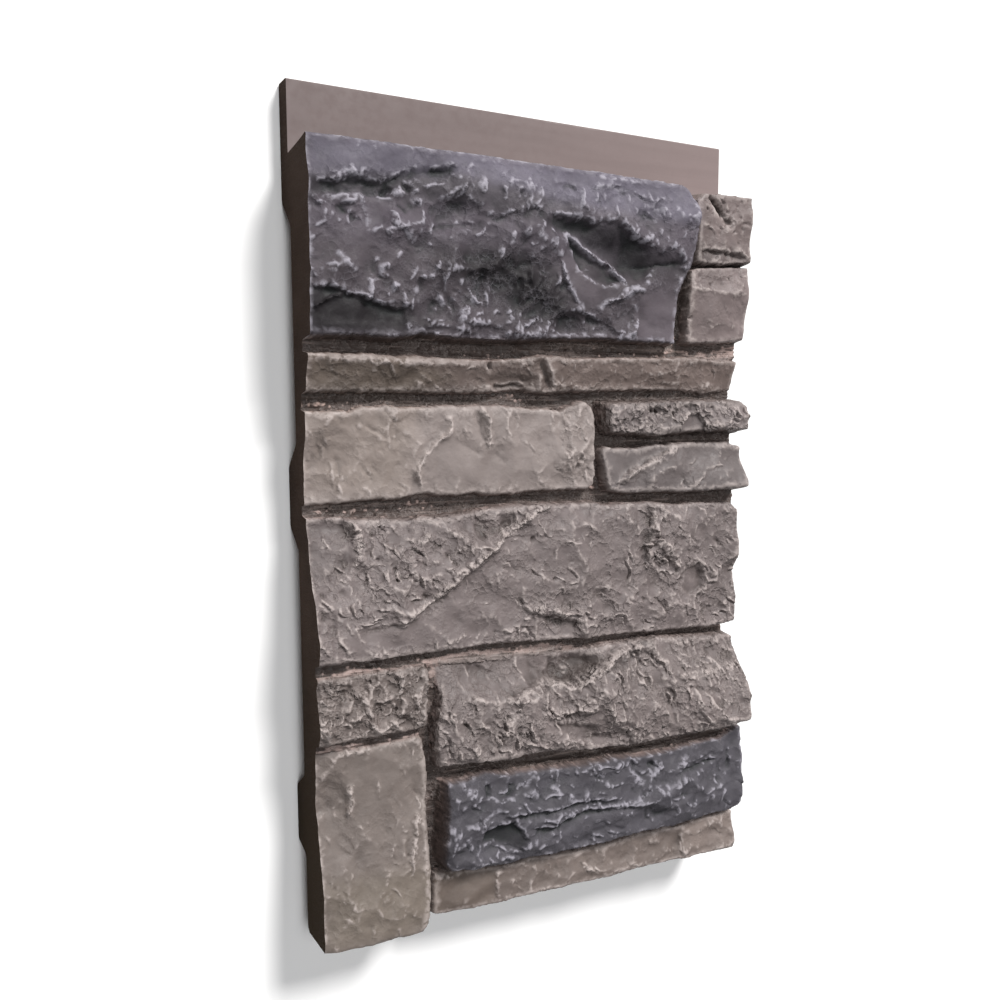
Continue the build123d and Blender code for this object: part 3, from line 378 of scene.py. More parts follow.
# ------------------------------------------------ relief strokes
# (kind, points, numbers), points in millimetres
#   ridge:  height, half width (negative is a groove)
#   shelf:  rise on the left, its fade, fall on the right, its fade
#   area:   height, soft edge
#   dent:   height, radius, at each point (negative is a pit)
#   crumbs: height, half width of a crumbling band
#   shade:  painted shade or light, how much darker or lighter (0 leaves it), soft edge: mostly dark hollows, recesses,
#       lower faces and joints and lighter upper and right-hand parts, the rest the stones' own tones
#   shade:  how much lighter or darker (0 leaves it), soft edge
#   hue:    red, green and blue factors, soft edge
#   wear:   how bare a line is rubbed, half width
#   fleck:  how bare a small crumb is rubbed, radius, at each point
STROKES = [
    # wide slate stone: a brow along its top with a recess and a ledge under it, and painted shade in its hollows and
    # recesses
    ("shelf", [(0, 287.5), (5, 289.5), (8, 290), (12, 290.8), (16, 291.8), (20, 292.2), (25, 291), (28, 291.5), (31, 293.5), (35, 295.2), (38, 296.3), (42, 297.5), (47, 298.5), (52, 299.5), (58, 300.3), (63, 300.5)], 0.70, 9, 0.95, 5.17),
    ("shelf", [(45, 291.5), (41, 290), (38, 289), (34, 288.5), (31, 287.2), (28, 285.6), (25, 285.4), (20, 286), (16, 285.8), (12, 285.4), (8, 285), (3, 284)], 0.91, 5, 0.35, 2.88),
    ("ridge", [(45, 291.3), (48, 292), (52, 292.8)], 0.6, 0.6),
    ("dent", [(30.5, 288.6), (29, 287.2)], -1.6, 1.5),
    ("dent", [(37, 290.8), (38, 289.8)], -1.0, 1.0),
    ("shelf", [(20.6, 285), (21.2, 281), (21.8, 278), (22, 274.5), (21, 273)], 0.39, 6, 0.35, 3.45),
    ("coarse", [(22, 285), (31, 285), (31, 276), (22, 275)], 0.3, 1.5),
    ("ridge", [(31, 281.5), (32.3, 279.5), (32.7, 277)], 0.7, 0.7),
    ("shelf", [(28, 275.5), (30, 276.6), (33, 276.2), (36, 275), (38, 272.8), (41, 270)], 0.59, 4, 0.55, 3.45),
    ("ridge", [(10, 281.5), (13, 280), (16, 278.5), (19, 276.8)], -1.0, 1.3),
    ("ridge", [(8, 278.5), (11, 277), (12, 275.5)], 0.7, 1.5),
    ("ridge", [(2, 282), (4, 282.6), (6.5, 282)], 0.6, 0.8),
    ("ridge", [(33, 284), (35, 283), (37, 281)], -1.0, 1.1),
    ("dent", [(42, 285.5)], 1.0, 1.4),
    ("area", [(46, 289), (68, 289), (69, 279), (48, 276)], -1.0, 3),
    ("shelf", [(46, 278), (52, 278.5), (60, 279.5), (67, 280.3)], 0.39, 4, 0.65, 3.45),
    ("ridge", [(56.5, 288), (58.5, 289), (59.5, 291), (60, 293)], 0.9, 0.7),
    ("ridge", [(67.5, 291), (69, 292.5), (69.3, 296)], 0.9, 0.8),
    ("ridge", [(76, 295), (78, 293.5), (78.7, 291), (77.8, 289.5)], 0.9, 0.7),
    ("coarse", [(70, 294), (77, 295), (78, 285), (70, 284)], 0.35, 1.5),
    ("shelf", [(66, 284.5), (70, 284), (73, 283.3), (76, 283.5), (79, 285), (82, 285.7), (86, 286), (89, 287.8), (92, 288.3), (96, 288.3), (98, 287)], 0.59, 6, 1, 4.02),
    ("ridge", [(66, 274.8), (68, 276.5), (70.5, 279)], 0.7, 0.6),
    ("dent", [(82, 277.5), (88, 278.5)], 0.9, 1.6),
    ("area", [(84, 282.5), (97, 283), (104, 281), (109.5, 280), (109, 272.5), (104, 270.5), (99, 271.5), (93, 274.5), (86, 277.5)], 1.3, 2.2),
    ("coarse", [(84, 282.5), (97, 283), (104, 281), (109.5, 280), (109, 272.5), (104, 270.5), (99, 271.5), (93, 274.5), (86, 277.5)], 0.55, 1.5),
    ("ridge", [(99, 281), (101, 279.5), (102, 276.5), (101, 274.5), (100.7, 273)], 0.8, 0.6),
    ("coarse", [(60, 268), (84, 270), (98, 270), (106, 262), (110, 254), (106, 246), (96, 246), (80, 251), (62, 250)], 1.35, 3),
    ("area", [(60, 268), (84, 270), (98, 270), (106, 262), (110, 254), (106, 246), (96, 246), (80, 251), (62, 250)], -0.9, 4),
    ("shade", [(60, 268), (84, 270), (98, 270), (106, 262), (110, 254), (106, 246), (96, 246), (80, 251), (62, 250)], -0.30, 4),
    ("coarse", [(2, 273), (30, 272), (34, 264), (20, 261), (2, 263)], 0.5, 2),
    ("dent", [(33, 254.5), (53, 251), (62, 247.5)], 1.2, 1.7),
    ("dent", [(25.5, 263.5), (29.5, 261.5), (29, 258), (49, 264), (47, 270.5), (44, 258), (82, 248), (30, 252), (49, 247.5), (37, 247.8), (13.5, 262), (64, 262), (70, 265)], 0.8, 1.0),
    ("ridge", [(23, 255), (23.2, 252.5), (22.5, 250.3), (20, 249.6)], 0.9, 0.8),
    ("ridge", [(61.8, 250), (62, 246.5), (61, 243)], 0.8, 0.9),
    ("ridge", [(63.5, 256), (65, 253.5), (66.5, 251.5)], 0.7, 0.7),
    ("shelf", [(0, 252.8), (4, 253.2), (8, 252.6), (11, 251), (14, 250.6), (17, 250.4), (20, 249.6), (24, 248.8), (28, 247.4), (33, 246.4), (37, 246.6), (41, 247)], 0.5, 5, 1.2, 6.9),
    ("ridge", [(0.5, 244.6), (3, 246.2), (6, 248), (9, 249.3), (13, 250)], 1.6, 0.8),
    ("shade", [(0, 252.5), (10, 252), (17, 250.3), (26, 248), (40, 246.5), (40, 242), (0, 241.5)], -0.28, 1.2),
    ("coarse", [(0, 252), (10, 252), (17, 250), (40, 246), (40, 237), (0, 237)], 0.4, 1.2),
    ("ridge", [(0, 239), (10, 239.6), (20, 239.8), (30, 239.4), (38, 238.5)], 0.5, 2.4),
    ("shelf", [(97, 287), (100, 286.3), (105, 286.4), (110, 286.4), (115, 285.6), (119, 285.2), (124, 286.2), (130, 286.6), (134, 285), (138, 281), (143, 279), (147, 278)], 0.8, 8, 1.5, 9.77),
    ("shade", [(99, 286), (112, 286), (120, 284), (133, 285), (139, 279), (150, 274), (146, 269), (140, 269), (135, 265), (122, 272), (110, 281)], -0.22, 3.0),
    ("shelf", [(116, 297), (119, 298.2), (123, 299.4), (128, 300.2), (131, 300.6), (135, 299.6), (139, 298.4), (143, 297.6), (149, 296.4)], 0.45, 6, 0.9, 5.17),
    ("ridge", [(113.5, 299), (113.2, 295), (112.8, 290.5)], 0.7, 0.7),
    ("ridge", [(124, 297), (123.4, 293), (124, 288.5)], 0.6, 0.8),
    ("ridge", [(130.5, 296), (129.5, 291.5), (130, 287.5)], 0.6, 0.8),
    ("shelf", [(107, 280.5), (110, 279.2), (112.5, 277.4), (116, 275), (119, 272.8), (122, 270.8), (125, 269.8), (127.5, 269), (130, 266.8), (132.5, 264.8), (135.5, 262.8), (138.5, 260.8)], 0.98, 4.5, 1.2, 5.17),
    ("ridge", [(107, 280.5), (110, 279.2), (112.5, 277.4), (116, 275), (119, 272.8), (122, 270.8), (125, 269.8), (127.5, 269), (130, 266.8), (132.5, 264.8), (135.5, 262.8), (138.5, 260.8)], 0.9, 0.6),
    ("area", [(111.5, 276.5), (114, 273.8), (118, 271.2), (122, 269), (126, 267.6), (129.5, 264.6), (133, 262.4), (128, 261.5), (121, 261.8), (115.5, 264.5), (112.5, 269)], -1.5, 1.2),
    ("shade", [(111.5, 276.5), (114, 273.8), (118, 271.2), (122, 269), (126, 267.6), (129.5, 264.6), (133, 262.4), (128, 261.5), (121, 261.8), (115.5, 264.5), (112.5, 269)], -0.45, 1.0),
    ("coarse", [(104, 270), (111, 279), (138, 262), (126, 253), (115, 251)], 0.12, 1.0),
    ("shelf", [(104, 271), (105.3, 267.5), (106.8, 264), (108.5, 260.8), (110.5, 258), (112.6, 255), (114.8, 252.4)], 0.52, 6, 0.7, 5.75),
    ("ridge", [(104, 271), (105.3, 267.5), (106.8, 264), (108.5, 260.8), (110.5, 258), (112.6, 255), (114.8, 252.4)], 0.7, 0.5),
    ("shelf", [(125, 251.8), (127, 253.8), (130, 255), (133, 255.6), (136, 257), (139, 258.8), (142, 259.8), (144.5, 260.2)], 0.33, 3, 1, 3.68),
    ("ridge", [(125, 251.8), (127, 253.8), (130, 255), (133, 255.6), (136, 257), (139, 258.8), (142, 259.8), (144.5, 260.2)], 0.8, 0.8),
    ("coarse", [(143, 259), (166, 260), (166, 240), (142, 240)], 0.12, 1.2),
    ("shelf", [(141.5, 249), (141, 245), (141.3, 240)], 0.33, 5, 0.25, 2.3),
    ("coarse", [(0, 306), (165, 306), (165, 299), (118, 300), (60, 301), (20, 295), (0, 293)], 0.5, 2),
    ("ridge", [(139, 269), (147, 269.5), (155, 271), (163, 272.4), (170, 273.6)], -1.1, 0.9),
    ("ridge", [(168, 286), (171, 287), (175, 288.4)], -0.9, 0.7),
    ("ridge", [(87, 242.5), (90, 243.2), (92, 245), (94.5, 246.6)], 1.0, 0.8),
    ("area", [(105, 247), (116, 249), (129, 246), (133, 241), (104, 241)], -1.3, 1.5),
    ("shade", [(105, 247), (116, 249), (129, 246), (133, 241), (104, 241)], -0.2, 1.5),
    ("ridge", [(115, 249.3), (118, 249.2), (121, 248.4), (126, 246.6)], 0.9, 0.7),
    ("area", [(62, 242), (83, 242), (84, 237), (60, 237)], -1.2, 1.2),
    ("area", [(45, 240.5), (56, 241), (60, 238), (44, 237)], -1.1, 1.0),
    # top right pair, with painted shade under the small stone's lower edge
    ("ridge", [(181.5, 302), (184, 299), (186.5, 296), (189, 293), (192, 291)], -2.6, 1.4),
    ("dent", [(179, 296.5), (190, 296.4)], -1.1, 0.6),
    ("shelf", [(175, 279.6), (185, 280), (195, 279.5), (203, 278)], 0.6, 4, 2.0, 3),
    ("shade", [(174, 279.5), (185, 280), (195, 279.5), (203, 278), (203, 274), (174, 274)], -0.3, 0.8),
    ("ridge", [(197, 292.2), (200, 292.3), (203, 292)], -1.0, 0.7),
    ("ridge", [(170.5, 264), (174, 262.6), (180, 262), (186, 262.5), (190, 261.6), (196, 262.2), (203, 262)], 0.9, 1.2),
    ("coarse", [(169, 270), (203, 271), (203, 263), (169, 262.5)], 2.2, 1.0),
    ("dent", [(172, 250), (171.5, 243.5)], -1.3, 0.8),
    # thin stone right across, with painted shade on its lower face at the left and in its recess
    ("ridge", [(0, 227.6), (15, 227.4), (30, 227.8), (45, 227.4), (60, 227), (74, 227.2)], 0.7, 1.6),
    ("shade", [(0, 227), (70, 227), (78, 222), (76, 216), (0, 215)], -0.18, 1.2),
    ("dent", [(75, 227.2), (76, 226.4)], -1.5, 1.0),
    ("area", [(76, 222.5), (97, 223), (98, 216), (78, 216)], -0.9, 1.6),
    ("shelf", [(78, 219.6), (82, 220), (86, 220.4), (90, 220), (93, 219)], 0.32, 2, 1.28, 3),
    ("shelf", [(98, 231.5), (99, 229.5), (100.5, 227), (102.5, 224), (104.5, 221), (106, 218.5)], 1.12, 9, 1.92, 5),
    ("shade", [(84, 231), (98, 230.5), (104, 221), (100, 217), (82, 218), (80, 224)], -0.20, 2.0),
    ("ridge", [(102, 230.4), (115, 230.2), (130, 230.8), (150, 231.4), (172, 232.2), (190, 231.8), (203, 231.6)], 0.6, 1.3),
    ("shelf", [(176.5, 232.5), (175.5, 229), (172.5, 226.5), (169.5, 224.8)], 0.08, 4, 0.56, 3),
    ("ridge", [(158, 222), (162, 222.6), (166, 221.8), (170, 222.2)], 0.6, 0.8),
    ("coarse", [(104, 220.5), (150, 221), (175, 223), (203, 221), (203, 217), (104, 216)], 1.8, 1.0),
    # pale stone, middle left
    ("ridge", [(69, 209.5), (70, 206), (71, 203), (72, 199), (73, 196)], -0.7, 1.0),
    ("ridge", [(73.6, 209), (74.6, 205), (74.8, 201), (75.6, 197)], 0.8, 1.0),
    ("shelf", [(58, 208), (58.5, 203), (56.5, 200), (52.5, 197.4), (49, 193.5), (46, 190), (44.3, 187), (44.2, 183), (45, 180), (46.5, 177.5)], 0.56, 9, 0.49, 3.5),
    ("ridge", [(58, 208), (58.5, 203), (56.5, 200), (52.5, 197.4), (49, 193.5), (46, 190)], 0.5, 1.0),
    ("ridge", [(44.3, 187), (44.2, 183), (45, 180), (46.5, 177.5)], 0.5, 0.8),
    ("ridge", [(60, 198), (65, 195.5), (69, 193), (73, 191.5)], -0.5, 1.2),
    ("ridge", [(78, 193), (81, 190), (84, 187.5)], -0.5, 1.0),
    ("ridge", [(22, 203), (27, 201.2), (30, 199.6), (33, 198)], -0.6, 0.9),
    ("ridge", [(34, 205), (37, 204), (39, 204.4)], -0.4, 0.8),
    ("ridge", [(12, 192), (13.6, 187), (14, 183), (12.5, 180)], -0.5, 0.9),
    ("coarse", [(48, 198), (64, 198), (80, 192), (96, 190), (96, 180), (48, 179)], 0.35, 3),
    ("coarse", [(109, 212), (127, 213), (127, 177), (110, 177)], 2.3, 2.5),
    ("dent", [(111.5, 208.5), (112, 194), (118, 189.5), (117, 186), (124, 188)], -1.0, 1.3),
    ("area", [(0, 204), (20, 206), (28, 196), (18, 186), (0, 184)], -0.5, 5),
    # two short stones, middle right
    ("area", [(166, 203.5), (169, 206.4), (172.5, 209), (176.5, 208.4), (179.5, 205), (180.5, 199.5), (168, 199.5)], -1.9, 1.0),
    ("coarse", [(166, 203.5), (169, 206.4), (172.5, 209), (176.5, 208.4), (179.5, 205), (180.5, 199.5), (168, 199.5)], 0.1, 0.8),
    ("ridge", [(165, 203), (167.5, 205.6), (170, 208.4), (172, 209.6)], 1.0, 0.8),
    ("dent", [(151.5, 209.6), (154.5, 209.8), (160.5, 210.2), (163, 208.4), (181.5, 207.4), (133, 206), (137, 204.4)], -1.7, 1.2),
    ("ridge", [(150, 209.2), (153, 210), (156, 209.8)], -1.0, 1.1),
    ("shelf", [(165.5, 194), (160.5, 191), (156, 188.8), (151, 187.2), (146, 185.2), (141, 182.2), (137, 179)], 1.0, 7, 1.2, 7),
    ("ridge", [(165.5, 194), (160.5, 191), (156, 188.8), (151, 187.2), (146, 185.2), (141, 182.2), (137, 179)], 0.4, 1.4),
    ("coarse", [(131, 193), (160, 193), (136, 178), (131, 180)], 0.3, 1.5),
    ("coarse", [(168, 185), (181, 184), (181, 175), (168, 175)], 2.2, 1.5),
    ("ridge", [(169, 182.5), (169.4, 180), (170.5, 177)], -1.0, 0.9),
    # tall stone right across: a broken crest from the top middle to the lower left, with painted shade in the recess at
    # its left and beside the step at its right
    ("shelf", [(99, 171), (94, 168), (90, 165), (86, 162), (82, 160), (78, 157), (73, 153.5), (69, 150), (66, 148), (61, 144.5)], 0.6, 8, 0.54, 9),
    ("ridge", [(99, 171), (94, 168), (90, 165), (86, 162), (82, 160), (78, 157), (73, 153.5), (69, 150), (66, 148), (62, 144), (57, 141), (53, 138), (49, 135)], 0.9, 1.1),
    ("shelf", [(15, 126.8), (20, 126.4), (26, 126), (33, 126.4), (38, 128), (42, 130.5), (46, 133), (50, 135.5), (56, 140)], 0.42, 5, 0.66, 2.6),
    ("coarse", [(16, 165), (60, 167), (95, 170), (60, 144), (45, 132), (17, 127), (4, 140)], 1.25, 1.5),
    ("coarse", [(60, 142), (98, 169), (148, 169), (148, 150), (120, 140), (95, 134), (86, 134), (60, 127), (45, 129)], 0.7, 2),
    ("coarse", [(10, 125), (32, 125), (60, 132), (86, 130), (84, 121), (40, 117), (12, 118)], 0.45, 1.5),
    ("area", [(0, 166), (13, 166), (17, 162), (17.5, 155), (13, 148), (7, 139), (0, 135)], -1.4, 2.6),
    ("coarse", [(0, 165), (12, 166), (16, 162), (17, 155.6), (14, 150), (0, 149)], 0.5, 1.6),
    ("shade", [(0, 166), (13, 166), (17, 162), (17.5, 155), (13, 148), (0, 142)], -0.22, 2.2),
    ("crumbs", [(17, 166), (19.5, 162), (20.5, 157), (19.5, 152), (16, 148)], 0.8, 1.5),
    ("shelf", [(8.6, 132), (8, 128), (7.6, 124.5), (9, 121), (11, 118), (13, 116.5)], 0.48, 5, 0.78, 4),
    ("ridge", [(0.5, 134), (3, 132), (2.5, 129.5)], -1.2, 1.2),
    ("dent", [(11, 140), (8, 138), (3, 139)], -1.0, 1.3),
    ("dent", [(42, 158), (40, 161.5), (24.5, 161.5), (93.5, 156.6), (103.4, 139.5), (146, 129.5), (26, 152.5), (44.6, 137), (37, 137.2), (35, 144.6)], -1.2, 1.0),
    ("ridge", [(31, 150), (33, 148.6), (34, 146.8)], -1.0, 0.9),
    ("ridge", [(37.5, 145.6), (39.5, 144), (41, 142)], -1.1, 0.9),
    ("ridge", [(47, 146), (48, 143.8), (49, 141.4), (52, 140.4)], -1.2, 0.9),
    ("ridge", [(49, 158), (51, 156.4), (52.5, 154.8)], -1.0, 0.9),
    ("ridge", [(53.4, 153.6), (55, 151.4)], -1.0, 0.9),
    ("ridge", [(56.4, 149.6), (58.5, 148)], -1.0, 0.8),
    ("ridge", [(38, 147.8), (41, 148.8), (44, 151)], 0.7, 0.7),
    ("ridge", [(57, 152), (60, 154), (63, 155.2)], 0.7, 0.7),
    ("ridge", [(24, 150), (26, 147.4), (26.4, 145.2)], -0.8, 0.9),
    ("area", [(69, 166), (78, 164), (84, 163.6), (78, 160.5), (71, 156.5), (67, 159)], -1.2, 1.4),
    ("shelf", [(87.5, 134), (89, 131.5), (90, 128.8), (92, 126.4), (96, 125), (102, 124), (108, 122.6), (114, 121), (119, 119.8)], 0.48, 5, 1.02, 4),
    ("shelf", [(74, 119.8), (80, 119.6), (86, 118.8), (92, 117), (96, 115.6)], 0.24, 2, 0.66, 2.5),
    ("coarse", [(92, 131), (120, 127), (140, 130), (140, 116), (92, 116)], 1.4, 2.5),
    ("shelf", [(152.4, 170.5), (154, 166.5), (153.6, 162), (153, 158), (152.4, 154), (151, 150.5), (151.4, 147), (152.2, 143.5)], 1.32, 16, 1.2, 6),
    ("ridge", [(155, 168.5), (154.8, 164), (154.2, 158), (153.6, 154)], 0.5, 0.8),
    ("shade", [(148, 168), (152.6, 169), (152.6, 158), (151, 145), (148, 146), (147.5, 158)], -0.25, 0.8),
    ("coarse", [(152, 155), (168, 154), (170, 140), (160, 136), (150, 142)], 2.3, 1.5),
    ("ridge", [(154.5, 145), (157, 143), (160, 140.4)], -1.3, 1.0),
    ("ridge", [(155, 128.2), (158, 127), (160, 124.6), (162, 122), (165, 120)], -1.1, 0.7),
    ("ridge", [(149, 128.6), (151, 126.6)], -0.7, 0.7),
    ("area", [(172, 138), (173.4, 134), (172.6, 130.5), (175, 128), (180, 127.4), (184, 130), (184, 137), (181, 141), (175, 140)], -1.0, 1.2),
    ("coarse", [(172, 138), (173.4, 134), (172.6, 130.5), (175, 128), (180, 127.4), (184, 130), (184, 137), (181, 141), (175, 140)], 0.3, 1.0),
    ("ridge", [(181, 142.4), (184, 140.6), (186, 137), (186.4, 132), (185, 128), (182.6, 125.6)], 0.9, 0.8),
    ("dent", [(173.4, 140.8), (171.4, 136.6), (171.6, 134.5), (181.4, 126), (173, 122), (167.5, 143.5)], -1.3, 1.1),
    ("ridge", [(183, 122.6), (185.6, 120), (186, 117.6), (186.2, 115)], -1.0, 1.1),
    ("ridge", [(189, 152.4), (192, 151), (195, 148.6)], -0.9, 0.8),
    ("ridge", [(193.6, 165), (195.4, 162.6), (195.8, 159.4)], -0.8, 0.9),
    ("ridge", [(196, 153), (198, 151.6), (200.4, 150)], -0.9, 0.8),
    ("ridge", [(197.5, 142), (196, 136), (196.6, 129), (195.4, 122), (196, 117)], -0.5, 1.2),
    ("ridge", [(160.4, 168.6), (163, 167), (165, 164.5)], -0.8, 0.9),
    # tall stone at the lower left
    ("area", [(0, 68), (6, 67), (11, 62.5), (11.5, 57), (8, 54), (0, 54)], -0.9, 1.6),
    ("ridge", [(12.5, 64.5), (13.2, 60.5), (13, 56.5), (12.4, 53), (11, 50)], 0.7, 0.9),
    ("ridge", [(6, 55), (8.4, 57), (10.4, 58)], 0.5, 0.8),
    ("ridge", [(23, 68.5), (24.2, 65), (24.6, 61), (24, 56.5)], 0.5, 0.9),
    ("ridge", [(39.5, 45), (38.6, 41), (37.4, 37.4), (36.6, 34), (36, 30.5)], 0.6, 0.8),
    ("ridge", [(35.2, 40), (34.9, 36), (34.8, 31.5)], -0.7, 0.8),
    ("ridge", [(41, 45.5), (43.4, 42), (45.4, 38.6)], 0.5, 1.2),
    ("ridge", [(29.4, 39), (28.8, 35.6), (28, 33)], 0.4, 0.7),
    ("ridge", [(38, 59), (40.4, 56.6), (44, 54.6)], -0.7, 0.9),
    ("ridge", [(23, 17), (25, 16.4), (27.4, 18)], 0.5, 0.8),
    ("coarse", [(34, 80), (45, 80), (45, 74), (34, 75)], 2.2, 1.5),
    ("coarse", [(14, 80), (34, 78), (34, 66), (26, 52), (14, 50)], 0.5, 3),
    # broken stone, lower right: a recess along its top, plates and slanting striae below, and painted shade in its
    # recesses
    ("shelf", [(152, 108.6), (147, 107.4), (142, 106.5), (136, 105), (131, 103), (127, 101.6), (124, 100), (121, 98), (118, 96), (114, 94.6), (111, 93), (107, 95.2), (103, 95), (97, 94)], 1.7, 10, 2.0, 7),
    ("shelf", [(97, 94), (93, 95), (88, 93.6), (83, 91.6), (78, 91)], 0.6, 6, 0.8, 4),
    ("area", [(104, 105), (122, 104), (124, 101), (119, 97), (112, 95), (104, 96.5)], -1.8, 2),
    ("shade", [(104, 105), (128, 105), (124, 101), (119, 97), (112, 94.5), (104, 95.5)], -0.2, 1.5),
    ("coarse", [(88, 110), (142, 110), (138, 105), (124, 100.5), (105, 93.5), (92, 92)], 0.45, 1.5),
    ("coarse", [(52, 107), (100, 107), (100, 96), (84, 93), (52, 95)], 0.55, 2),
    ("ridge", [(100, 93), (98, 90), (97, 86.4), (97.6, 83)], 0.9, 0.8),
    ("shelf", [(102, 82.6), (108, 82), (113, 82.6), (119, 81.6), (123, 83.4)], 0.7, 4, 1.0, 3),
    ("area", [(102, 79), (106, 78), (112, 77), (118, 76), (122, 75), (124.5, 70), (121, 67.5), (113, 70), (106, 73)], -1.4, 1.5),
    ("shade", [(102, 79), (106, 78), (112, 77), (118, 76), (122, 75), (124.5, 70), (121, 67.5), (113, 70), (106, 73)], -0.2, 1.5),
    ("coarse", [(102, 79), (106, 78), (112, 77), (118, 76), (122, 75), (124.5, 70), (121, 67.5), (113, 70), (106, 73)], 0.5, 1.0),
    ("shelf", [(123, 92), (121, 88), (117, 86.5), (111.5, 84.5)], 0.3, 4, 0.9, 3),
    ("ridge", [(118.5, 97.5), (117.6, 94), (116, 91.5)], -1.0, 0.8),
    ("ridge", [(125, 103), (128, 98), (132, 95.4), (136, 93)], 0.8, 0.8),
    ("ridge", [(130.6, 103), (131.4, 99), (133.6, 95.6)], -0.9, 0.9),
    ("ridge", [(140, 99), (138, 95.8), (137, 92)], 0.5, 0.8),
    ("coarse", [(76, 80), (90, 80), (92, 69), (76, 69)], 2.0, 1.5),
    ("dent", [(80, 83.4), (78.6, 79), (84, 77.4), (85.4, 75.6), (83, 91.4), (90.4, 91.6), (57, 86.6), (164.6, 91.6)], -1.3, 1.2),
    ("area", [(178.6, 84), (184, 86), (187, 82.6), (190, 77.4), (187.4, 75.4), (182, 79.4)], -1.7, 1.2),
    ("ridge", [(170, 87), (174, 86.2), (178, 84.6)], -1.0, 0.9),
    ("shelf", [(167, 97), (172, 95), (178, 95), (184, 95.6), (190, 95)], 0.4, 3, 0.8, 3),
    # dark ledged stone, lower right, with painted shade in its smooth hollow
    ("shelf", [(74, 43), (80, 42.2), (86, 42), (92, 41.6), (100, 41.2), (107, 41.8), (112, 43), (117, 42.2), (125, 41.6), (132, 41), (138, 41.6)], 1.08, 5, 1.92, 3),
    ("shelf", [(87, 35.6), (92, 34.8), (98, 33.6), (103, 34.2), (107, 35.8), (112, 36.8), (117, 38.2), (123, 38), (130, 37.2), (138, 36.6), (145, 36.2), (151, 35.8)], 0.96, 3, 1.92, 3),
    ("ridge", [(163, 46.6), (168, 47), (174, 48), (181, 49.4), (190, 50.2)], -1.3, 1.3),
    ("ridge", [(166, 50), (174, 51.4), (182, 52.4)], 0.6, 1.2),
    ("area", [(68, 37), (74, 39), (82, 38.4), (86, 35), (88.6, 29.4), (86, 26.6), (81, 29), (75, 31), (68, 32.6)], -2.2, 1.5),
    ("coarse", [(68, 37), (74, 39), (82, 38.4), (86, 35), (88.6, 29.4), (86, 26.6), (81, 29), (75, 31), (68, 32.6)], 0.2, 1.2),
    ("shade", [(68, 37), (74, 39), (82, 38.4), (86, 35), (88.6, 29.4), (86, 26.6), (81, 29), (75, 31), (68, 32.6)], -0.65, 1.2),
    ("shelf", [(70, 31.4), (75, 30.8), (80, 29.6), (84, 27.8), (88, 25.6)], 0.36, 2, 1.44, 2.5),
    ("ridge", [(71, 50.4), (71.4, 53), (70.6, 56)], -1.8, 1.1),
    ("ridge", [(80.6, 50), (81.4, 53), (82, 55)], -1.4, 1.2),
    ("ridge", [(83.4, 52.6), (86, 53.4), (88.6, 55.6)], 0.9, 0.8),
    ("ridge", [(124.8, 50), (125, 53.4)], -1.5, 1.0),
    ("ridge", [(103, 47), (103.6, 50), (105, 53)], 0.9, 0.9),
    ("ridge", [(142.6, 50), (143, 53.6), (141, 56)], -1.1, 1.1),
    ("ridge", [(151, 48.6), (155, 49.8), (157.6, 52), (158, 55)], 0.9, 0.9),
    ("ridge", [(150.6, 52.6), (153.6, 54)], -1.4, 1.1),
    ("ridge", [(195.4, 44), (195.6, 49), (194.6, 54)], -1.2, 1.0),
    ("ridge", [(61, 40.4), (66, 39.6), (70, 41), (74, 43)], 0.8, 0.9),
    ("ridge", [(62, 49), (66, 50.6), (69, 53.4)], 0.8, 0.9),
    ("area", [(100, 33), (150, 34), (164, 30), (150, 26), (100, 27)], -0.7, 2.5),
    ("coarse", [(176, 32), (192, 32), (196, 24), (176, 24)], 0.4, 2),
    # low strip
    ("shelf", [(77, 17), (76.6, 13), (77.4, 9), (76, 4)], 0.6, 12, 0.4, 3),
    ("coarse", [(46, 18), (75, 18), (75, 1), (46, 1)], 0.3, 1.0),
    ("ridge", [(119.6, 9.6), (121.4, 8.8), (123.4, 9.6)], -0.9, 0.8),
    ("shelf", [(172.6, 17), (173.2, 13), (172.4, 9), (173.4, 4)], 0.6, 10, 0.5, 4),
    # crumbling breaks
    ("crumbs", [(100, 170), (97, 169), (93, 167), (89, 164), (84, 161), (79, 157.5), (74, 154), (68, 150), (62, 145.5), (57, 141.5), (52, 137.8), (47, 134.5), (41, 131), (35, 127)], 0.9, 1.9),
    ("crumbs", [(153.6, 157), (155, 153), (158, 151), (162, 150), (165, 147), (168, 142), (166, 138)], 0.9, 2.2),
    ("crumbs", [(95, 128), (100, 127), (106, 125.6), (111, 123.6)], 0.8, 1.8),
    ("crumbs", [(166, 194), (160, 191), (154, 188.6), (148, 186.4), (142, 183), (137, 179.4), (134, 177)], 0.7, 1.7),
    ("crumbs", [(72.5, 209), (74.4, 205), (75, 200), (75.6, 196)], 0.8, 1.5),
    ("crumbs", [(58, 206), (58, 201), (54, 198.4), (50, 194.6), (46.6, 190.4), (44.4, 186), (44.6, 181)], 0.5, 1.4),
    ("crumbs", [(11, 78), (15, 77), (20, 78)], 0.8, 1.6),
    ("crumbs", [(13, 63), (13.4, 58), (12.6, 53)], 0.7, 1.4),
    ("crumbs", [(36.6, 31), (37.6, 35), (39, 40), (38.6, 45), (39.4, 48)], 0.7, 1.5),
    ("crumbs", [(47.5, 20), (48, 35), (48, 50), (47.6, 65), (47, 78)], 0.4, 1.2),
    ("crumbs", [(96, 94), (101, 95.4), (106, 95), (111, 93.4), (116, 95.4), (121, 98), (126, 101), (132, 103.4), (138, 105.6), (145, 107)], 1.0, 1.8),
    ("crumbs", [(97.6, 83), (103, 82.4), (110, 82.4), (118, 82)], 0.9, 1.5),
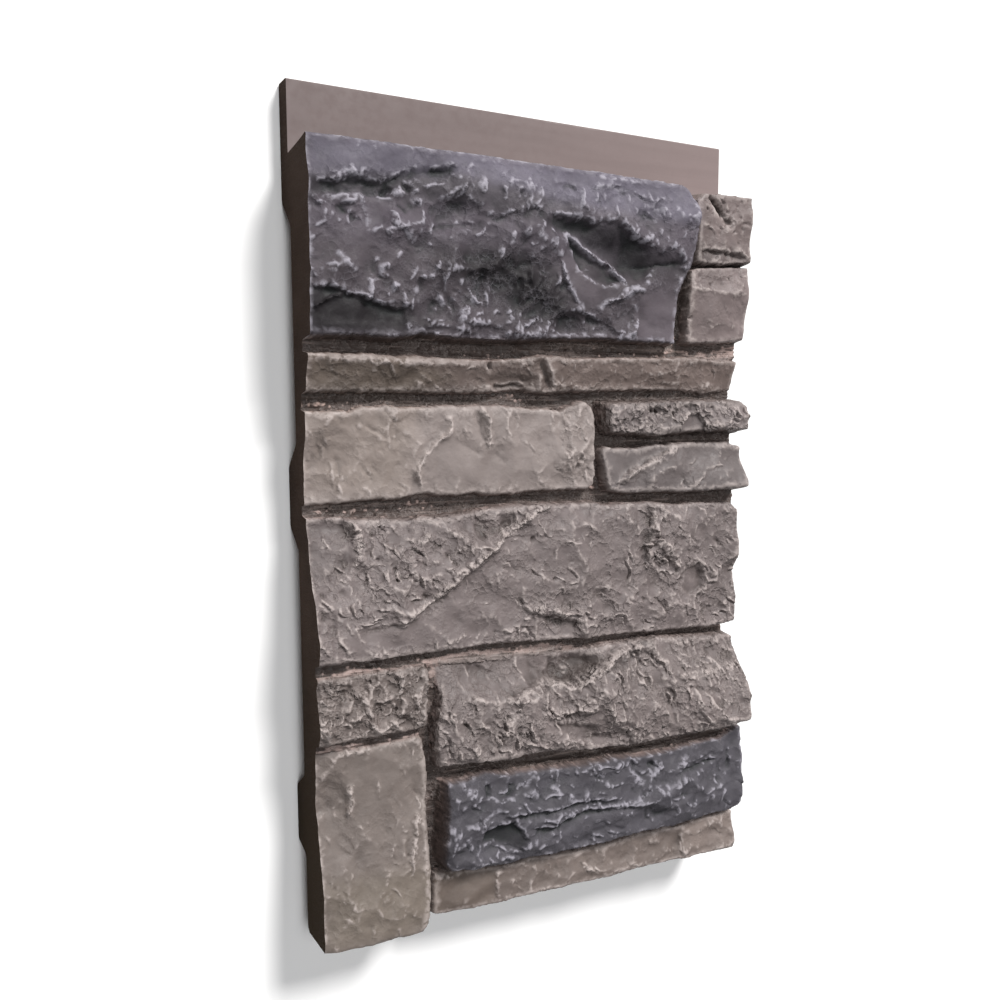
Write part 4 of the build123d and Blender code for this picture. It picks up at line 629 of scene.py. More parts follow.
    ("crumbs", [(88, 92), (84, 88), (81, 83), (80, 78), (77, 74)], 0.9, 2.2),
    ("crumbs", [(168, 92), (176, 91.4), (184, 93), (192, 92), (200, 93)], 0.8, 2.2),
    ("crumbs", [(141.4, 249), (143, 246), (142, 242)], 0.7, 1.6),
    ("crumbs", [(89, 243), (92, 245), (94.5, 246.6)], 0.8, 1.2),
    ("crumbs", [(119, 12), (121.6, 9.4), (126.4, 7.4)], 0.8, 1.2),
    # painted light and shade on the wide slate stone: its upper band and lit facets lighter, the band under its brow,
    # its hollows, its valley and its undercut darker, mixed with its own tones
    ("shade", [(0, 297), (40, 300), (60, 303), (110, 300), (112, 306), (0, 306)], 0.25, 3),
    ("shade", [(60, 296), (110, 292), (113, 288), (150, 287), (172, 281), (175, 300), (165, 306), (60, 306)], 0.45, 4),
    ("shade", [(72, 289), (100, 286), (118, 285), (132, 284), (131, 275), (118, 276), (108, 281), (90, 283), (72, 284)], -0.45, 2.5),
    ("shade", [(45, 272), (86, 270), (100, 260), (116, 250), (114, 243), (80, 243), (76, 256), (50, 260)], -0.32, 5),
    ("shade", [(0, 247), (25, 247), (50, 244), (52, 238), (0, 238)], -0.35, 2),
    ("shade", [(132, 283), (150, 277), (170, 272), (170, 265), (135, 265)], -0.30, 3),
    ("shade", [(144, 262), (168, 262), (168, 240), (144, 240)], 0.30, 3),
    ("shade", [(0, 290), (12, 291), (12, 283), (0, 283)], -0.30, 1.5),
    ("shade", [(27, 295), (68, 300), (68, 286), (27, 286)], -0.20, 3),
    ("shade", [(99, 270), (112, 270), (124, 262), (122, 254), (112, 253)], 0.25, 3),
    ("shade", [(0, 282), (40, 283), (52, 272), (40, 255), (0, 256)], 0.10, 5),
    # tones of the other stones
    ("hue", [(0, 306), (175, 306), (175, 288), (110, 291), (60, 297), (30, 293), (0, 291)], 0.98, 1.0, 1.10, 3),
    ("hue", [(0, 28), (47, 28), (47, 0), (0, 0)], 1.0, 1.0, 0.93, 6),
    ("hue", [(0, 229), (40, 228), (60, 222), (40, 214), (0, 214)], 0.98, 1.0, 0.92, 4),
    ("hue", [(0, 212), (45, 212), (40, 176), (0, 176)], 1.02, 1.0, 0.95, 8),
    ("hue", [(46, 20), (77, 19), (76, 0), (46, 0)], 0.86, 0.84, 0.80, 1.5),
    # soft broad forms of the wide slate stone, with painted shade in the groove under its brow, in its hollow, in its
    # undercut, over its lower half and in the joint to its right, a painted lighter upper band, and its rubbed pale
    # crumbs and lines
    ("ridge", [(0, 286.4), (5, 287.6), (14, 289.4), (20.5, 290.4), (27, 290.2), (33, 292.4), (39, 294.4), (47, 296.6), (56, 298.4)], -1.0, 2.2),
    ("shade", [(0, 288), (5, 289.5), (14, 291.5), (20.5, 293), (28, 293), (33, 295), (39, 297), (47, 299), (56, 300.5), (57, 298), (47, 296), (40, 293.4), (34, 290.4), (29, 287.6), (22, 287), (14, 287), (5, 285.6), (0, 284)], -0.22, 1.1),
    ("area", [(95, 285), (112, 285), (120, 284.5), (132, 285), (136, 282), (142, 279.5), (150, 277), (160, 275), (166, 273), (166, 268), (150, 268), (143, 262), (138, 262), (130, 268), (120, 273), (108, 279), (95, 280)], -1.5, 3.5),
    ("coarse", [(95, 285), (112, 285), (120, 284.5), (132, 285), (136, 282), (142, 279.5), (150, 277), (160, 275), (166, 273), (166, 268), (150, 268), (143, 262), (138, 262), (130, 268), (120, 273), (108, 279), (95, 280)], 0.25, 2.0),
    ("shade", [(95, 285), (112, 285), (120, 284.5), (132, 285), (136, 282), (142, 279.5), (150, 277), (160, 275), (166, 273), (166, 268), (150, 268), (143, 262), (138, 262), (130, 268), (120, 273), (108, 279), (95, 280)], -0.22, 3.0),
    ("shade", [(0, 252.8), (10, 252.6), (18, 250.6), (37, 246.5), (38, 236), (0, 236)], -0.30, 1.0),
    ("coarse", [(0, 252), (10, 252), (18, 250), (37, 246), (38, 237), (0, 237)], 0.4, 1.0),
    ("shade", [(0, 271), (60, 271), (100, 270), (120, 262), (165, 262), (165, 236), (0, 236)], -0.15, 6),
    ("shade", [(0, 306), (175, 306), (175, 287), (110, 289), (60, 297), (30, 294), (0, 292)], 0.26, 3.5),
    ("shade", [(164.6, 262), (170.8, 262), (171, 238), (164.6, 238)], -0.62, 0.5),
    ("fleck", [(10.5, 291.6), (13.5, 293.2), (15.6, 294), (40.2, 286), (41.6, 285.4), (67.4, 294), (68.6, 296), (89, 296.8), (88.2, 290.2), (94.4, 294), (77, 270.6), (82.2, 275.2), (93.4, 278.2), (95.5, 276.6)], 0.9, 1.3),
    ("fleck", [(33, 254.6), (32, 253.4), (51.4, 251.4), (52.6, 249.6), (41.2, 253.8), (60.2, 246.4), (61, 243.8), (59.6, 244.6), (28, 261), (27.2, 259.6), (81.4, 247.2), (82.4, 245.4), (65.4, 251.8), (37.4, 242.6), (38.6, 240.6), (22.6, 252.8), (23, 255.4), (47, 258.6), (60.4, 258.2), (49, 262.6), (12.6, 262.4), (11, 264.6), (70, 263.6), (84, 266)], 0.9, 1.2),
    ("fleck", [(147.3, 282.7), (152.9, 284.5), (156, 281.6), (159.5, 278.9), (163, 277), (150, 280.6), (154.8, 293.4), (160.4, 294.8), (149.6, 288.6), (165, 284.4)], 0.75, 1.2),
    ("wear", [(20.2, 284.6), (21, 281.2), (21.6, 278), (22, 275.2)], 0.75, 0.6),
    ("wear", [(32, 279.4), (33, 277.2), (35, 275.4), (37, 273.6), (39.6, 271)], 0.85, 0.7),
    ("wear", [(31.2, 275.4), (28.6, 273.6)], 0.6, 0.6),
    ("wear", [(1, 244.8), (5, 247.2), (9.3, 249.2), (14, 250.4)], 0.8, 0.5),
    ("wear", [(5, 284.4), (9, 284.8), (14, 285.8), (20, 285.8)], 0.6, 0.6),
    ("wear", [(45, 291.2), (48, 292.2), (52, 292.8)], 0.6, 0.5),
    ("wear", [(106.2, 279.4), (109.9, 278.9), (114.6, 276.1), (120.2, 271.4), (126.8, 269.1), (132.4, 264.4), (137, 260.2)], 0.95, 0.55),
    ("wear", [(100.6, 278), (100.4, 275.4), (101, 273.2), (104.3, 271.4)], 0.7, 0.6),
    ("wear", [(105.3, 268.6), (109, 261.2), (111, 257.4), (113.7, 253.7), (117.4, 249)], 0.85, 0.6),
    ("wear", [(124, 251.8), (127.7, 254.6), (132, 255.4), (136.1, 256.7), (142.6, 259.8)], 0.9, 0.9),
    ("wear", [(140.8, 255.6), (143.1, 251.8)], 0.7, 0.6),
    ("wear", [(138.9, 246.2), (139.8, 240.6)], 0.7, 0.8),
    ("wear", [(117.4, 297.1), (125.8, 299.3), (135.2, 299.7), (141.7, 297.1), (147.3, 293.9), (154.8, 293.4)], 0.6, 0.7),
    ("wear", [(111.8, 296.7), (112.3, 289.2)], 0.7, 0.5),
    ("wear", [(89.7, 243.4), (92, 244.8), (93.6, 246.2)], 0.95, 0.8),
    # pale crumbs of the dark ledged stone
    ("fleck", [(59.6, 56.8), (62.4, 55), (65, 54.6), (63.8, 52.6), (91.6, 49.4), (93.6, 48.4), (102.4, 50.4), (103.4, 48), (109, 44.8), (117, 45.4), (125.6, 52.4), (127.6, 48.4), (141.6, 50.6), (143.6, 47.4), (146.4, 46.4), (151.4, 49.6), (154.8, 50.4)], 0.9, 1.5),
    ("fleck", [(54, 41), (56.4, 38), (58.4, 33.6), (56, 32.4), (60.6, 35.6), (62, 31.8), (89, 27.6), (92, 28.4), (121.4, 25.4), (132, 24.6), (150.6, 42.6), (155, 41.4), (158.6, 42.4), (168.6, 43.8), (187, 41.6), (190, 38), (193, 34), (186, 33)], 0.85, 1.4),
    ("wear", [(84.8, 54.6), (88, 52.8), (90.4, 55.2), (92, 57)], 0.8, 0.8),
    ("wear", [(142, 51), (144.6, 48.4), (147.4, 46.2)], 0.85, 0.9),
    ("wear", [(151.6, 48.2), (155.4, 50), (156.4, 53)], 0.85, 0.9),
    ("wear", [(166, 50), (169.6, 52.6), (172, 54)], 0.8, 0.9),
    ("wear", [(98, 37.2), (104, 36.6), (110, 37.4), (118, 38.6)], 0.8, 1.0),
    ("wear", [(123, 38.4), (130, 38), (138, 38.2), (145, 38.4), (151, 41)], 0.8, 0.8),
    ("wear", [(60, 40.6), (66, 41.4), (71, 43.6), (76, 45)], 0.75, 0.8),
    ("wear", [(157, 40), (162, 42.6), (166, 44)], 0.6, 0.9),
    ("coarse", [(0, 288), (5, 289.5), (14, 291.5), (20.5, 293), (28, 293), (33, 295), (39, 297), (47, 299), (56, 300.5), (57, 298), (47, 296), (40, 293.4), (34, 290.4), (29, 287.6), (22, 287), (14, 287), (5, 285.6), (0, 284)], 0.35, 1.2),
    # painted light and shade across the stones, mixed with their own tones: the right-hand ends lighter, as the light
    # falls from the right, and the lower edges, the joints and a groove darker
    ("shade", [(180, 306), (206, 306), (206, 274), (180, 274)], 0.16, 4),
    ("shade", [(172, 283), (206, 283), (206, 272), (172, 272)], -0.16, 1.5),
    ("shade", [(190, 272), (206, 272), (206, 238), (190, 238)], 0.20, 4),
    ("shade", [(0, 218.6), (206, 219.6), (206, 212), (0, 212)], -0.20, 1.5),
    ("shade", [(120, 232.5), (206, 233), (206, 224), (120, 224)], 0.12, 2.5),
    ("shade", [(130, 207), (206, 208), (206, 200), (130, 200)], -0.12, 2),
    ("shade", [(185, 214), (206, 214), (206, 200), (185, 200)], 0.30, 3),
    ("shade", [(48, 110), (80, 110), (80, 62), (48, 62)], -0.12, 6),
    ("shade", [(48, 62), (130, 62), (130, 20), (48, 20)], -0.07, 8),
    ("shade", [(186, 64), (206, 64), (206, 20), (186, 20)], 0.14, 5),
    ("shade", [(48, 22), (84, 22), (84, 0), (48, 0)], -0.10, 6),
    ("shade", [(175, 22), (206, 22), (206, 0), (175, 0)], 0.18, 5),
    ("shade", [(14, 108), (30, 108), (30, 82), (14, 82)], 0.14, 4),
    ("shade", [(180.9, 303.0), (182.4, 302.4), (187.6, 297.0), (192.8, 291.6), (191.8, 290.4), (185.6, 296.2)], -0.55, 0.6),
    ("shade", [(48, 67), (206, 67), (206, 60), (48, 60)], -0.10, 1.5),
    ("ridge", [(179.8, 304.4), (182, 301.6), (185, 298), (188, 295)], -1.6, 1.0),
    ("shade", [(0, 306), (168, 306), (168, 278), (0, 278)], 0.10, 6),
    ("dent", [(154.6, 110.2), (148.7, 107.7), (141.2, 101.7), (132.3, 99.5), (119.9, 96.0), (108.9, 95.1), (99.0, 94.1)], -1.1, 0.9),
    ("shade", [(154.6, 111.7), (155.6, 108.7), (132.3, 97.9), (99.0, 92.6), (99.0, 95.3), (132.3, 100.9)], -0.35, 1.2),
    ("hue", [(0, 306.5), (172, 306.5), (172, 287), (0, 287)], 0.985, 1.03, 0.985, 5),
    ("hue", [(0, 270), (172, 270), (172, 236), (0, 236)], 1.02, 1.01, 0.965, 6),
    ("shade", [(140, 256), (170, 256), (170, 237), (140, 237)], 0.26, 4),
    ("shade", [(98, 286), (126, 284), (126, 274), (98, 276)], 0.12, 4),
    ("shade", [(60, 42), (204, 42), (204, 22), (60, 21)], 0.13, 5),
    ("shade", [(120, 60), (165, 60), (165, 46), (120, 46)], -0.08, 4),
    ("shade", [(90, 84), (190, 84), (190, 64), (90, 64)], 0.09, 5),
    ("shade", [(15, 108), (30, 108), (30, 95), (15, 95)], -0.10, 4),
]

# how each stone was broken: heights in mm of broad waves, lumps, large and
# small flakes, pits and hammering; way is the direction of its grain in degrees,
# run how long it is, size how large the features are, edge how ragged its
# outline is, round how far its edges are rounded over, rough how gritty it is;
# nick holds the height, direction, spread of direction, half length, thickness
# and share of its short cuts
CHARACTER = {
    "A":  dict(broad=1.1, lump=1.85, flake=1.20, chip=0.55, pit=0.2, hammer=0.0, way=22, run=1.3, size=1.05, edge=0.9, round=1.3, rough=0.26, nick=(0.80, 60, 70, 2.3, 0.85, 0.62)),
    "A2": dict(broad=0.6, lump=0.70, flake=0.45, chip=0.20, pit=0.5, hammer=0.04, way=0, run=1.0, size=0.9, edge=0.9, round=1.2, rough=0.14, nick=(0.45, -40, 60, 2.4, 0.7, 0.4)),
    "A3": dict(broad=0.4, lump=0.50, flake=0.25, chip=0.15, pit=0.2, hammer=0.03, way=0, run=1.0, size=0.9, edge=0.7, round=1.0, rough=0.14, nick=(0.35, -40, 60, 2.4, 0.7, 0.3)),
    "B":  dict(broad=0.5, lump=0.80, flake=0.50, chip=0.25, pit=0.2, hammer=0.03, way=5, run=1.8, size=0.8, edge=0.9, round=1.2, rough=0.25, nick=(0.40, -25, 40, 2.4, 0.6, 0.4)),
    "C":  dict(broad=0.8, lump=0.95, flake=0.40, chip=0.15, pit=0.2, hammer=0.03, way=75, run=1.2, size=0.85, edge=1.0, round=1.4, rough=0.14, nick=(0.40, -60, 30, 3.0, 0.9, 0.5)),
    "D1": dict(broad=0.6, lump=1.90, flake=1.50, chip=0.80, pit=0.8, hammer=0.03, way=10, run=1.2, size=0.8, edge=1.3, round=1.2, rough=0.95, nick=(0.85, -35, 60, 2.4, 0.75, 0.6)),
    "D2": dict(broad=0.5, lump=0.90, flake=0.45, chip=0.20, pit=0.2, hammer=0.03, way=30, run=1.3, size=0.9, edge=1.0, round=1.5, rough=0.14, nick=(0.40, 30, 40, 2.8, 0.7, 0.4)),
    "E":  dict(broad=1.1, lump=1.60, flake=1.00, chip=0.35, pit=0.3, hammer=0.02, way=-35, run=1.4, size=1.0, edge=0.8, round=1.5, rough=0.55, nick=(0.85, -45, 55, 2.6, 0.7, 0.42)),
    "F":  dict(broad=0.5, lump=2.00, flake=1.90, chip=1.10, pit=0.7, hammer=0.20, way=78, run=1.1, size=0.75, edge=1.0, round=1.3, rough=0.9, nick=(0.85, 70, 60, 2.0, 0.75, 0.7)),
    "G":  dict(broad=1.4, lump=2.00, flake=1.40, chip=0.65, pit=0.3, hammer=0.0, way=-58, run=2.0, size=1.0, edge=1.0, round=1.4, rough=0.75, nick=(0.95, -58, 30, 3.2, 0.8, 0.55)),
    "H":  dict(broad=0.7, lump=0.90, flake=0.40, chip=0.18, pit=0.2, hammer=0.02, way=90, run=1.2, size=0.9, edge=0.8, round=2.0, rough=0.14, nick=(0.40, -70, 40, 2.6, 0.8, 0.3)),
    "I":  dict(broad=1.1, lump=1.95, flake=1.3, chip=0.45, pit=0.2, hammer=0.0, way=10, run=1.7, size=0.95, edge=1.1, round=0.9, rough=0.14, nick=(1.10, -40, 65, 3.8, 0.80, 0.64)),
    "J":  dict(broad=0.9, lump=1.30, flake=0.60, chip=0.18, pit=0.2, hammer=0.02, way=5, run=1.4, size=0.8, edge=0.8, round=1.2, rough=0.14, nick=(0.35, -60, 40, 2.6, 0.8, 0.4)),
}
NAMES = list(CHARACTER)


# --------------------------------------------------------- base surfaces
def spread(stations, sm, sl=(slice(None), slice(None))):
    """A surface from stations along x, each a list of (y, z), over part of the grid."""
    gx, gy = xs[sl[1]], ys[sl[0]]
    cols = np.array([np.interp(gy, [p[0] for p in f], [p[1] for p in f]) for _, f in stations]).T
    sx = [s[0] for s in stations]
    k = np.clip(np.searchsorted(sx, gx, side="right") - 1, 0, len(sx) - 2)
    t = np.clip((gx - np.take(sx, k)) / (np.take(sx, k + 1) - np.take(sx, k)), 0, 1)
    return blur(cols[:, k] * (1 - t) + cols[:, k + 1] * t, sm)


relief = np.zeros_like(X)              # strokes
coarse = np.ones_like(X)               # texture scale
# painted light and shade, with the stones' own tones, from the shade strokes
shade = np.zeros_like(X)
hue = np.ones(X.shape + (3,))
wear_by_hand = np.zeros_like(X)

# the line of a stroke wanders, as a break does, and its height comes and goes
wob_x = 0.9 * fbm(X, Y, 7.0, 901, 2) + 0.55 * fbm(X, Y, 2.6, 905, 2)
wob_y = 0.9 * fbm(X, Y, 7.0, 907, 2) + 0.55 * fbm(X, Y, 2.6, 911, 2)
vary = 1 + 0.55 * fbm(X, Y, 6.0, 915, 3)

grains = ridged(X + wob_x, Y + wob_y, 3.0, 921, 2, gain=0.6)

for kind, pts, *nums in STROKES:
    reach = 3.2 * max(nums[1], nums[-1]) if kind == "shelf" else 3.2 * nums[-1] + 1
    sl = window(pts, reach + 1.5)
    x, y = X[sl] + wob_x[sl], Y[sl] + wob_y[sl]
    if kind == "ridge":
        d, _, a = near_line(pts, x, y)
        end = smooth(0, 0.15, a) * smooth(0, 0.15, 1 - a) * 0.9 + 0.1
        relief[sl] += nums[0] * end * vary[sl] * np.exp(-np.abs(d / nums[1]) ** 1.3)
    elif kind == "shelf":
        d, s, a = near_line(pts, x, y)
        end = smooth(0, 0.14, a) * smooth(0, 0.14, 1 - a)
        up, up_fade, down, down_fade = nums
        # the steps of the wide slate stone are softer than the others
        low_y, low_x = min(p[1] for p in pts), min(p[0] for p in pts)
        soft = 1.7 if low_y > 236 and low_x < 168 else 1.0
        lip = soft * (0.30 + 0.26 * (up + down)) * (1 + 0.7 * fbm(x, y, 8.0, 917, 2))
        left = up * np.exp(-(d / up_fade) ** 1.5)
        right = -down * np.exp(-(d / down_fade) ** 1.5)
        m = smooth(-1.3, 0.7, d * s / lip)
        relief[sl] += end * vary[sl] * (left * m + right * (1 - m))
    elif kind == "crumbs":
        d, _, a = near_line(pts, x, y)
        band = np.exp(-(d / nums[1]) ** 2.0)
        relief[sl] += nums[0] * band * (0.35 + 1.3 * grains[sl])
        coarse[sl] *= 1 + 0.8 * band
        wear_by_hand[sl] = np.maximum(wear_by_hand[sl], 0.55 * band * smooth(0.35, 0.7, grains[sl]))
    elif kind == "area":
        d = inside_by(pts, x, y)
        relief[sl] += nums[0] * smooth(-nums[1], nums[1], d)
    elif kind == "dent":
        for px, py in pts:
            d = np.hypot(x - px, y - py)
            relief[sl] += nums[0] * np.exp(-(d / nums[1]) ** 2)
    elif kind == "coarse":
        d = inside_by(pts, x, y)
        coarse[sl] *= 1 + (nums[0] - 1) * smooth(-nums[1], nums[1], d)
    elif kind == "shade":
        d = inside_by(pts, x, y)
        shade[sl] += nums[0] * smooth(-nums[1], nums[1], d)
    elif kind == "hue":
        d = inside_by(pts, x, y)
        hue[sl] *= 1 + (np.array(nums[:3]) - 1) * smooth(-nums[3], nums[3], d)[..., None]
    elif kind == "fleck":
        for px, py in pts:
            d = np.hypot(x - px, 0.8 * (y - py))
            blob = np.exp(-(d / nums[1]) ** 2)
            relief[sl] += 0.55 * blob * (0.5 + grains[sl])
            wear_by_hand[sl] = np.maximum(wear_by_hand[sl], nums[0] * blob * smooth(0.15, 0.5, grains[sl] + 0.25 * blob))
    elif kind == "wear":
        d, _, a = near_line(pts, x, y)
        wear_by_hand[sl] = np.maximum(wear_by_hand[sl], nums[0] * np.exp(-(d / nums[1]) ** 2))


def broken(c, seed, x, y):
    """The broken face of a stone, mm about zero: its broad waves, its lumps and its texture."""
    way, run, size = c["way"], c["run"], c["size"]
    wx = x + size * (2.2 * fbm(x, y, 12.0, seed + 1, 2) + 0.8 * fbm(x, y, 3.2, seed + 3, 2))
    wy = y + size * (2.2 * fbm(x, y, 12.0, seed + 5, 2) + 0.8 * fbm(x, y, 3.2, seed + 7, 2))
    waves = 1.5 * c["broad"] * fbm(wx, wy, 26.0, seed + 10, 2, stretch=run, turn=way)
    waves = waves + c["lump"] * 0.8 * fbm(wx, wy, 13.0 * size, seed + 20, 2, gain=0.4, stretch=run, turn=way)
    # the hollows that flakes left, meeting in arrises: large, middling and small
    lumps = c["lump"] * 1.9 * scoops(wx, wy, 11.0 * size, seed + 30, run, way)
    busy = smooth(-0.45, 0.35, fbm(x, y, 15.0, seed + 45, 2))
    t = c["flake"] * (0.15 + 0.85 * busy) * 1.35 * scoops(wx, wy, 5.6 * size, seed + 40, 1.3, way + 35)
    patch = smooth(-0.1, 0.45, fbm(x, y, 9.0, seed + 49, 2))
    t = t + c["chip"] * patch * 0.95 * scoops(wx, wy, 2.9 * size, seed + 48, 1.3, way - 40)
    high, turn, fan, half, thick, share = c["nick"]
    some = smooth(-0.5, 0.2, fbm(x, y, 12.0, seed + 47, 2))
    t = t + high * (0.25 + 0.75 * some) * nicks(wx, wy, max(5.4, 1.45 * half), seed + 70, turn, fan, half, thick, share)
    t = t + 0.6 * high * some * nicks(wx, wy, 4.2, seed + 74, turn, fan + 15, min(2.2, half * 0.6), 0.7 * thick, share)
    f1, f2, who = cells(wx, wy, 2.6, seed + 50)
    t = t - c["pit"] * 1.2 * np.where(who > 0.82, smooth(0.45, 0.08, f1), 0.0)
    f1, f2, who = cells(wx, wy, 3.3 * size, seed + 55)
    t = t + c["hammer"] * (0.9 * smooth(0.0, 0.55, f2 - f1) - 0.6 + 0.8 * (who - 0.5))
    return waves, lumps, t + 0.05 * fbm(x, y, 2.0, seed + 60, 2)


bed = spread([(x, list(zip(BED_Y, z))) for x, z in zip(BED_X, BED_Z)], 2.0)
striae = fbm(X, Y, 1.5, 700, 3, stretch=9.0)
crumbs = cells(X + wob_x, Y + wob_y, 2.2, 720)
bed_rough = (0.65 * striae + 0.9 * fbm(X, Y, 4.0, 710, 3, stretch=2.2)
             + 0.6 * np.where(crumbs[2] > 0.5, smooth(0.5, 0.0, crumbs[0]), 0.0))
Z = bed + 0.5 + bed_rough
# the mortar lies against the upper edges of the stones
for name, high in (("B", 1.5), ("C", 1.2), ("E", 0.8), ("F", 1.0), ("G", 1.0), ("H", 1.0), ("I", 3.2)):
    middle = sum(p[1] for p in OUTLINES[name]) / len(OUTLINES[name])
    pts = sorted(p for p in OUTLINES[name] if p[1] > middle + 5 * (name != "B"))
    sl = window(pts, 7.0)
    d, _, _ = near_line(pts, X[sl], Y[sl])
    Z[sl] += high * np.exp(-(d / 2.3) ** 2) * smooth(0, 8, X[sl]) * smooth(0, 8, W - X[sl])
ident = np.full(X.shape, -1, int)
depth_in = np.full(X.shape, -9.0)            # how far inside its stone's outline a point is
roughness = np.full(X.shape, 0.6)            # how much of the finest chipping a point has

top_edge_drop = 0.9 * (1 - np.sqrt(np.clip(1 - np.clip(1 - (TOP - Y) / 1.4, 0, 1) ** 2, 0, 1)))
for k, name in enumerate(NAMES):
    c = CHARACTER[name]
    seed = 1000 + 97 * k
    drop = {"A": (168.0, 176.0), "A2": (174.5,), "A3": (169.0,), "C": (124.5,), "D1": (130.0,), "D2": (127.5,),
            "F": (46.5,), "H": (46.5,), "G": (48.8,), "I": (52.0,)}.get(name, ())
    sl = window(OUTLINES[name], 5.0)
    x, y = X[sl], Y[sl]
    base = spread([(sx, f[1:-1]) for sx, f in FACES[name] if sx not in drop], 2.2, sl)
    wx = x + c["edge"] * (0.55 * fbm(x, y, 4.0, seed + 80, 3) + 0.25 * grad(x / 1.3, y / 1.3, seed + 84))
    wy = y + c["edge"] * (0.55 * fbm(x, y, 4.0, seed + 90, 3) + 0.25 * grad(x / 1.3, y / 1.3, seed + 94))
    d = inside_by(OUTLINES[name], wx, wy)
    waves, lumps, texture = broken(c, seed, x, y)
    texture = blur(texture, 0.35 if name in ("A", "I") else 0.2)
    much = coarse[sl]
    face = (base + waves * (0.4 + 0.6 * smooth(0, 6, d)) + relief[sl]
            + (lumps * np.clip(0.3 + 0.7 * much, 0, 1.4) + texture * much) * (0.45 + 0.55 * smooth(0.2, 3.0, d)))
    r = c["round"]
    q = np.clip(1 - d / r, 0, 1)
    face = face - 0.8 * r * (1 - np.sqrt(np.clip(1 - q * q, 0, 1))) - np.clip(-d, 0, 9) * 7.5
    if name in ("A", "A2"):
        face = face - top_edge_drop[sl]
    take = (face > Z[sl]) | ((d > 0.8) & (ident[sl] < 0))      # the mortar never covers a stone
    ident[sl] = np.where(take, k, ident[sl])
    depth_in[sl] = np.where(take, d, depth_in[sl])
    roughness[sl] = np.where(take, np.clip(c["rough"] * much, 0, 1), roughness[sl])
    Z[sl] = np.where(take, face, Z[sl])

Z = np.clip(Z, 12.5, 41.3)

# ------------------------------------------------------------ paint, by grid
fine = Z - blur(Z, 0.7)
mid = Z - blur(Z, 1.8)
wide = Z - blur(Z, 4.5)
on_stone = ident >= 0
hard = np.where(ident == NAMES.index("I"), 0.06, np.where(ident == NAMES.index("A"), 0.05, 0.0))   # thinner on the slates
crest = smooth(0.12 + hard, 0.52 + 1.4 * hard, np.where(ident == NAMES.index("I"), fine * 1.9, fine * 1.6 + mid * 0.30))
broken_up = smooth(-0.15, 0.45, fbm(X, Y, 3.5, 930, 3))
rim = on_stone * smooth(1.3, 0.2, np.abs(depth_in - 0.5)) * broken_up
inner = 0.30 + 0.70 * smooth(0.6, 2.6, depth_in)
wear = np.clip(0.95 * crest * np.maximum(inner, 0.75 * rim) + 0.20 * rim + wear_by_hand, 0, 1) * on_stone
wear *= 1 - 0.8 * smooth(-0.35, -0.8, shade)        # the dry brush misses the dark recesses
wear = np.where(ident == NAMES.index("I"), 0.85 * smooth(0.30, 0.85, wear), wear)
wear = np.where(ident == NAMES.index("A"), 0.95 * smooth(0.18, 0.85, wear), wear)
wear = np.maximum(wear, 0.25 * crest * ~on_stone)
# paint rubbed off along the saw cuts and the front edge of the top stones
arris = np.minimum(np.minimum(X, W - X), TOP - Y)
wear = np.maximum(wear, on_stone * smooth(1.1, 0.1, arris) * smooth(-0.3, 0.25, fbm(X, Y, 5.0, 940, 3)))
cavity = smooth(0.10, 1.45, -mid * 0.9 - wide * 0.42)


# ------------------------------------------------------------------ the mesh
def rounded(profile, r):
    """The profile with its corners rounded by a few points each."""
    out = [profile[0]]
    for a, b, c in zip(profile, profile[1:], profile[2:]):
        u = Vector((a[0] - b[0], a[1] - b[1]))
        v = Vector((c[0] - b[0], c[1] - b[1]))
        k = min(r, u.length * 0.4, v.length * 0.4)
        p0, p2 = Vector(b) + u.normalized() * k, Vector(b) + v.normalized() * k
        for t in (0.0, 0.25, 0.5, 0.75, 1.0):
            q = p0 * (1 - t) ** 2 + Vector(b) * 2 * t * (1 - t) + p2 * t * t
            out.append((q.x, q.y))
    out.append(profile[-1])
    return out


rows_y, rows_z = [], []
# foot: from the front edge back to the rebate
foot_n = 9
z_foot = Z[0]
for i in range(foot_n, 0, -1):
    t = i / foot_n
    rows_y.append(np.full(nx, -0.35 * t))
    rows_z.append(z_foot + (11.6 - z_foot) * t)
n_foot = len(rows_y)
for j in range(ny):
    rows_y.append(Y[j])
    rows_z.append(Z[j])
n_front = len(rows_y)
# the top faces of the upper stones, down to the flange
wall_n = 14
z_edge = Z[-1]
for i in range(1, wall_n + 1):
    t = i / wall_n
    rows_y.append(np.full(nx, TOP + 0.05 + 0.55 * t))
    rows_z.append(z_edge + (9.0 - z_edge) * t)
n_wall = len(rows_y)
flange_y = np.concatenate([np.linspace(TOP + 1.0, 329.0, 30), [329.45, 329.8, 330.0]])
for i, y in enumerate(flange_y):
    sag = 0.10 * fbm(xs, np.full(nx, y), 30.0, 340, 2)
    lip = {30: 0.04, 31: 0.28, 32: 0.75}.get(i, 0.0)
    rows_y.append(np.full(nx, y))
    rows_z.append(9.0 - 0.06 + 0.5 * sag - lip)
n_flange = len(rows_y)
back = rounded(BACK, 1.6)
back = back[:-1] + [(329.6, 0.0), (329.9, 0.12), (330.0, 0.5)]
for y, z in reversed(back):
    rows_y.append(np.full(nx, y))
    rows_z.append(np.full(nx, z))
RY, RZ = np.array(rows_y), np.array(rows_z)
nr = len(RY)
RX = np.tile(xs, (nr, 1))

co = np.stack([RX.ravel(), RY.ravel(), RZ.ravel()], 1)
j, i = np.meshgrid(np.arange(nr), np.arange(nx - 1), indexing="ij")
j2 = (j + 1) % nr
quads = np.stack([j * nx + i, j * nx + i + 1, j2 * nx + i + 1, j2 * nx + i], -1).reshape(-1, 4)
left = [int(k) * nx for k in range(nr)]
right = [int(k) * nx + nx - 1 for k in reversed(range(nr))]


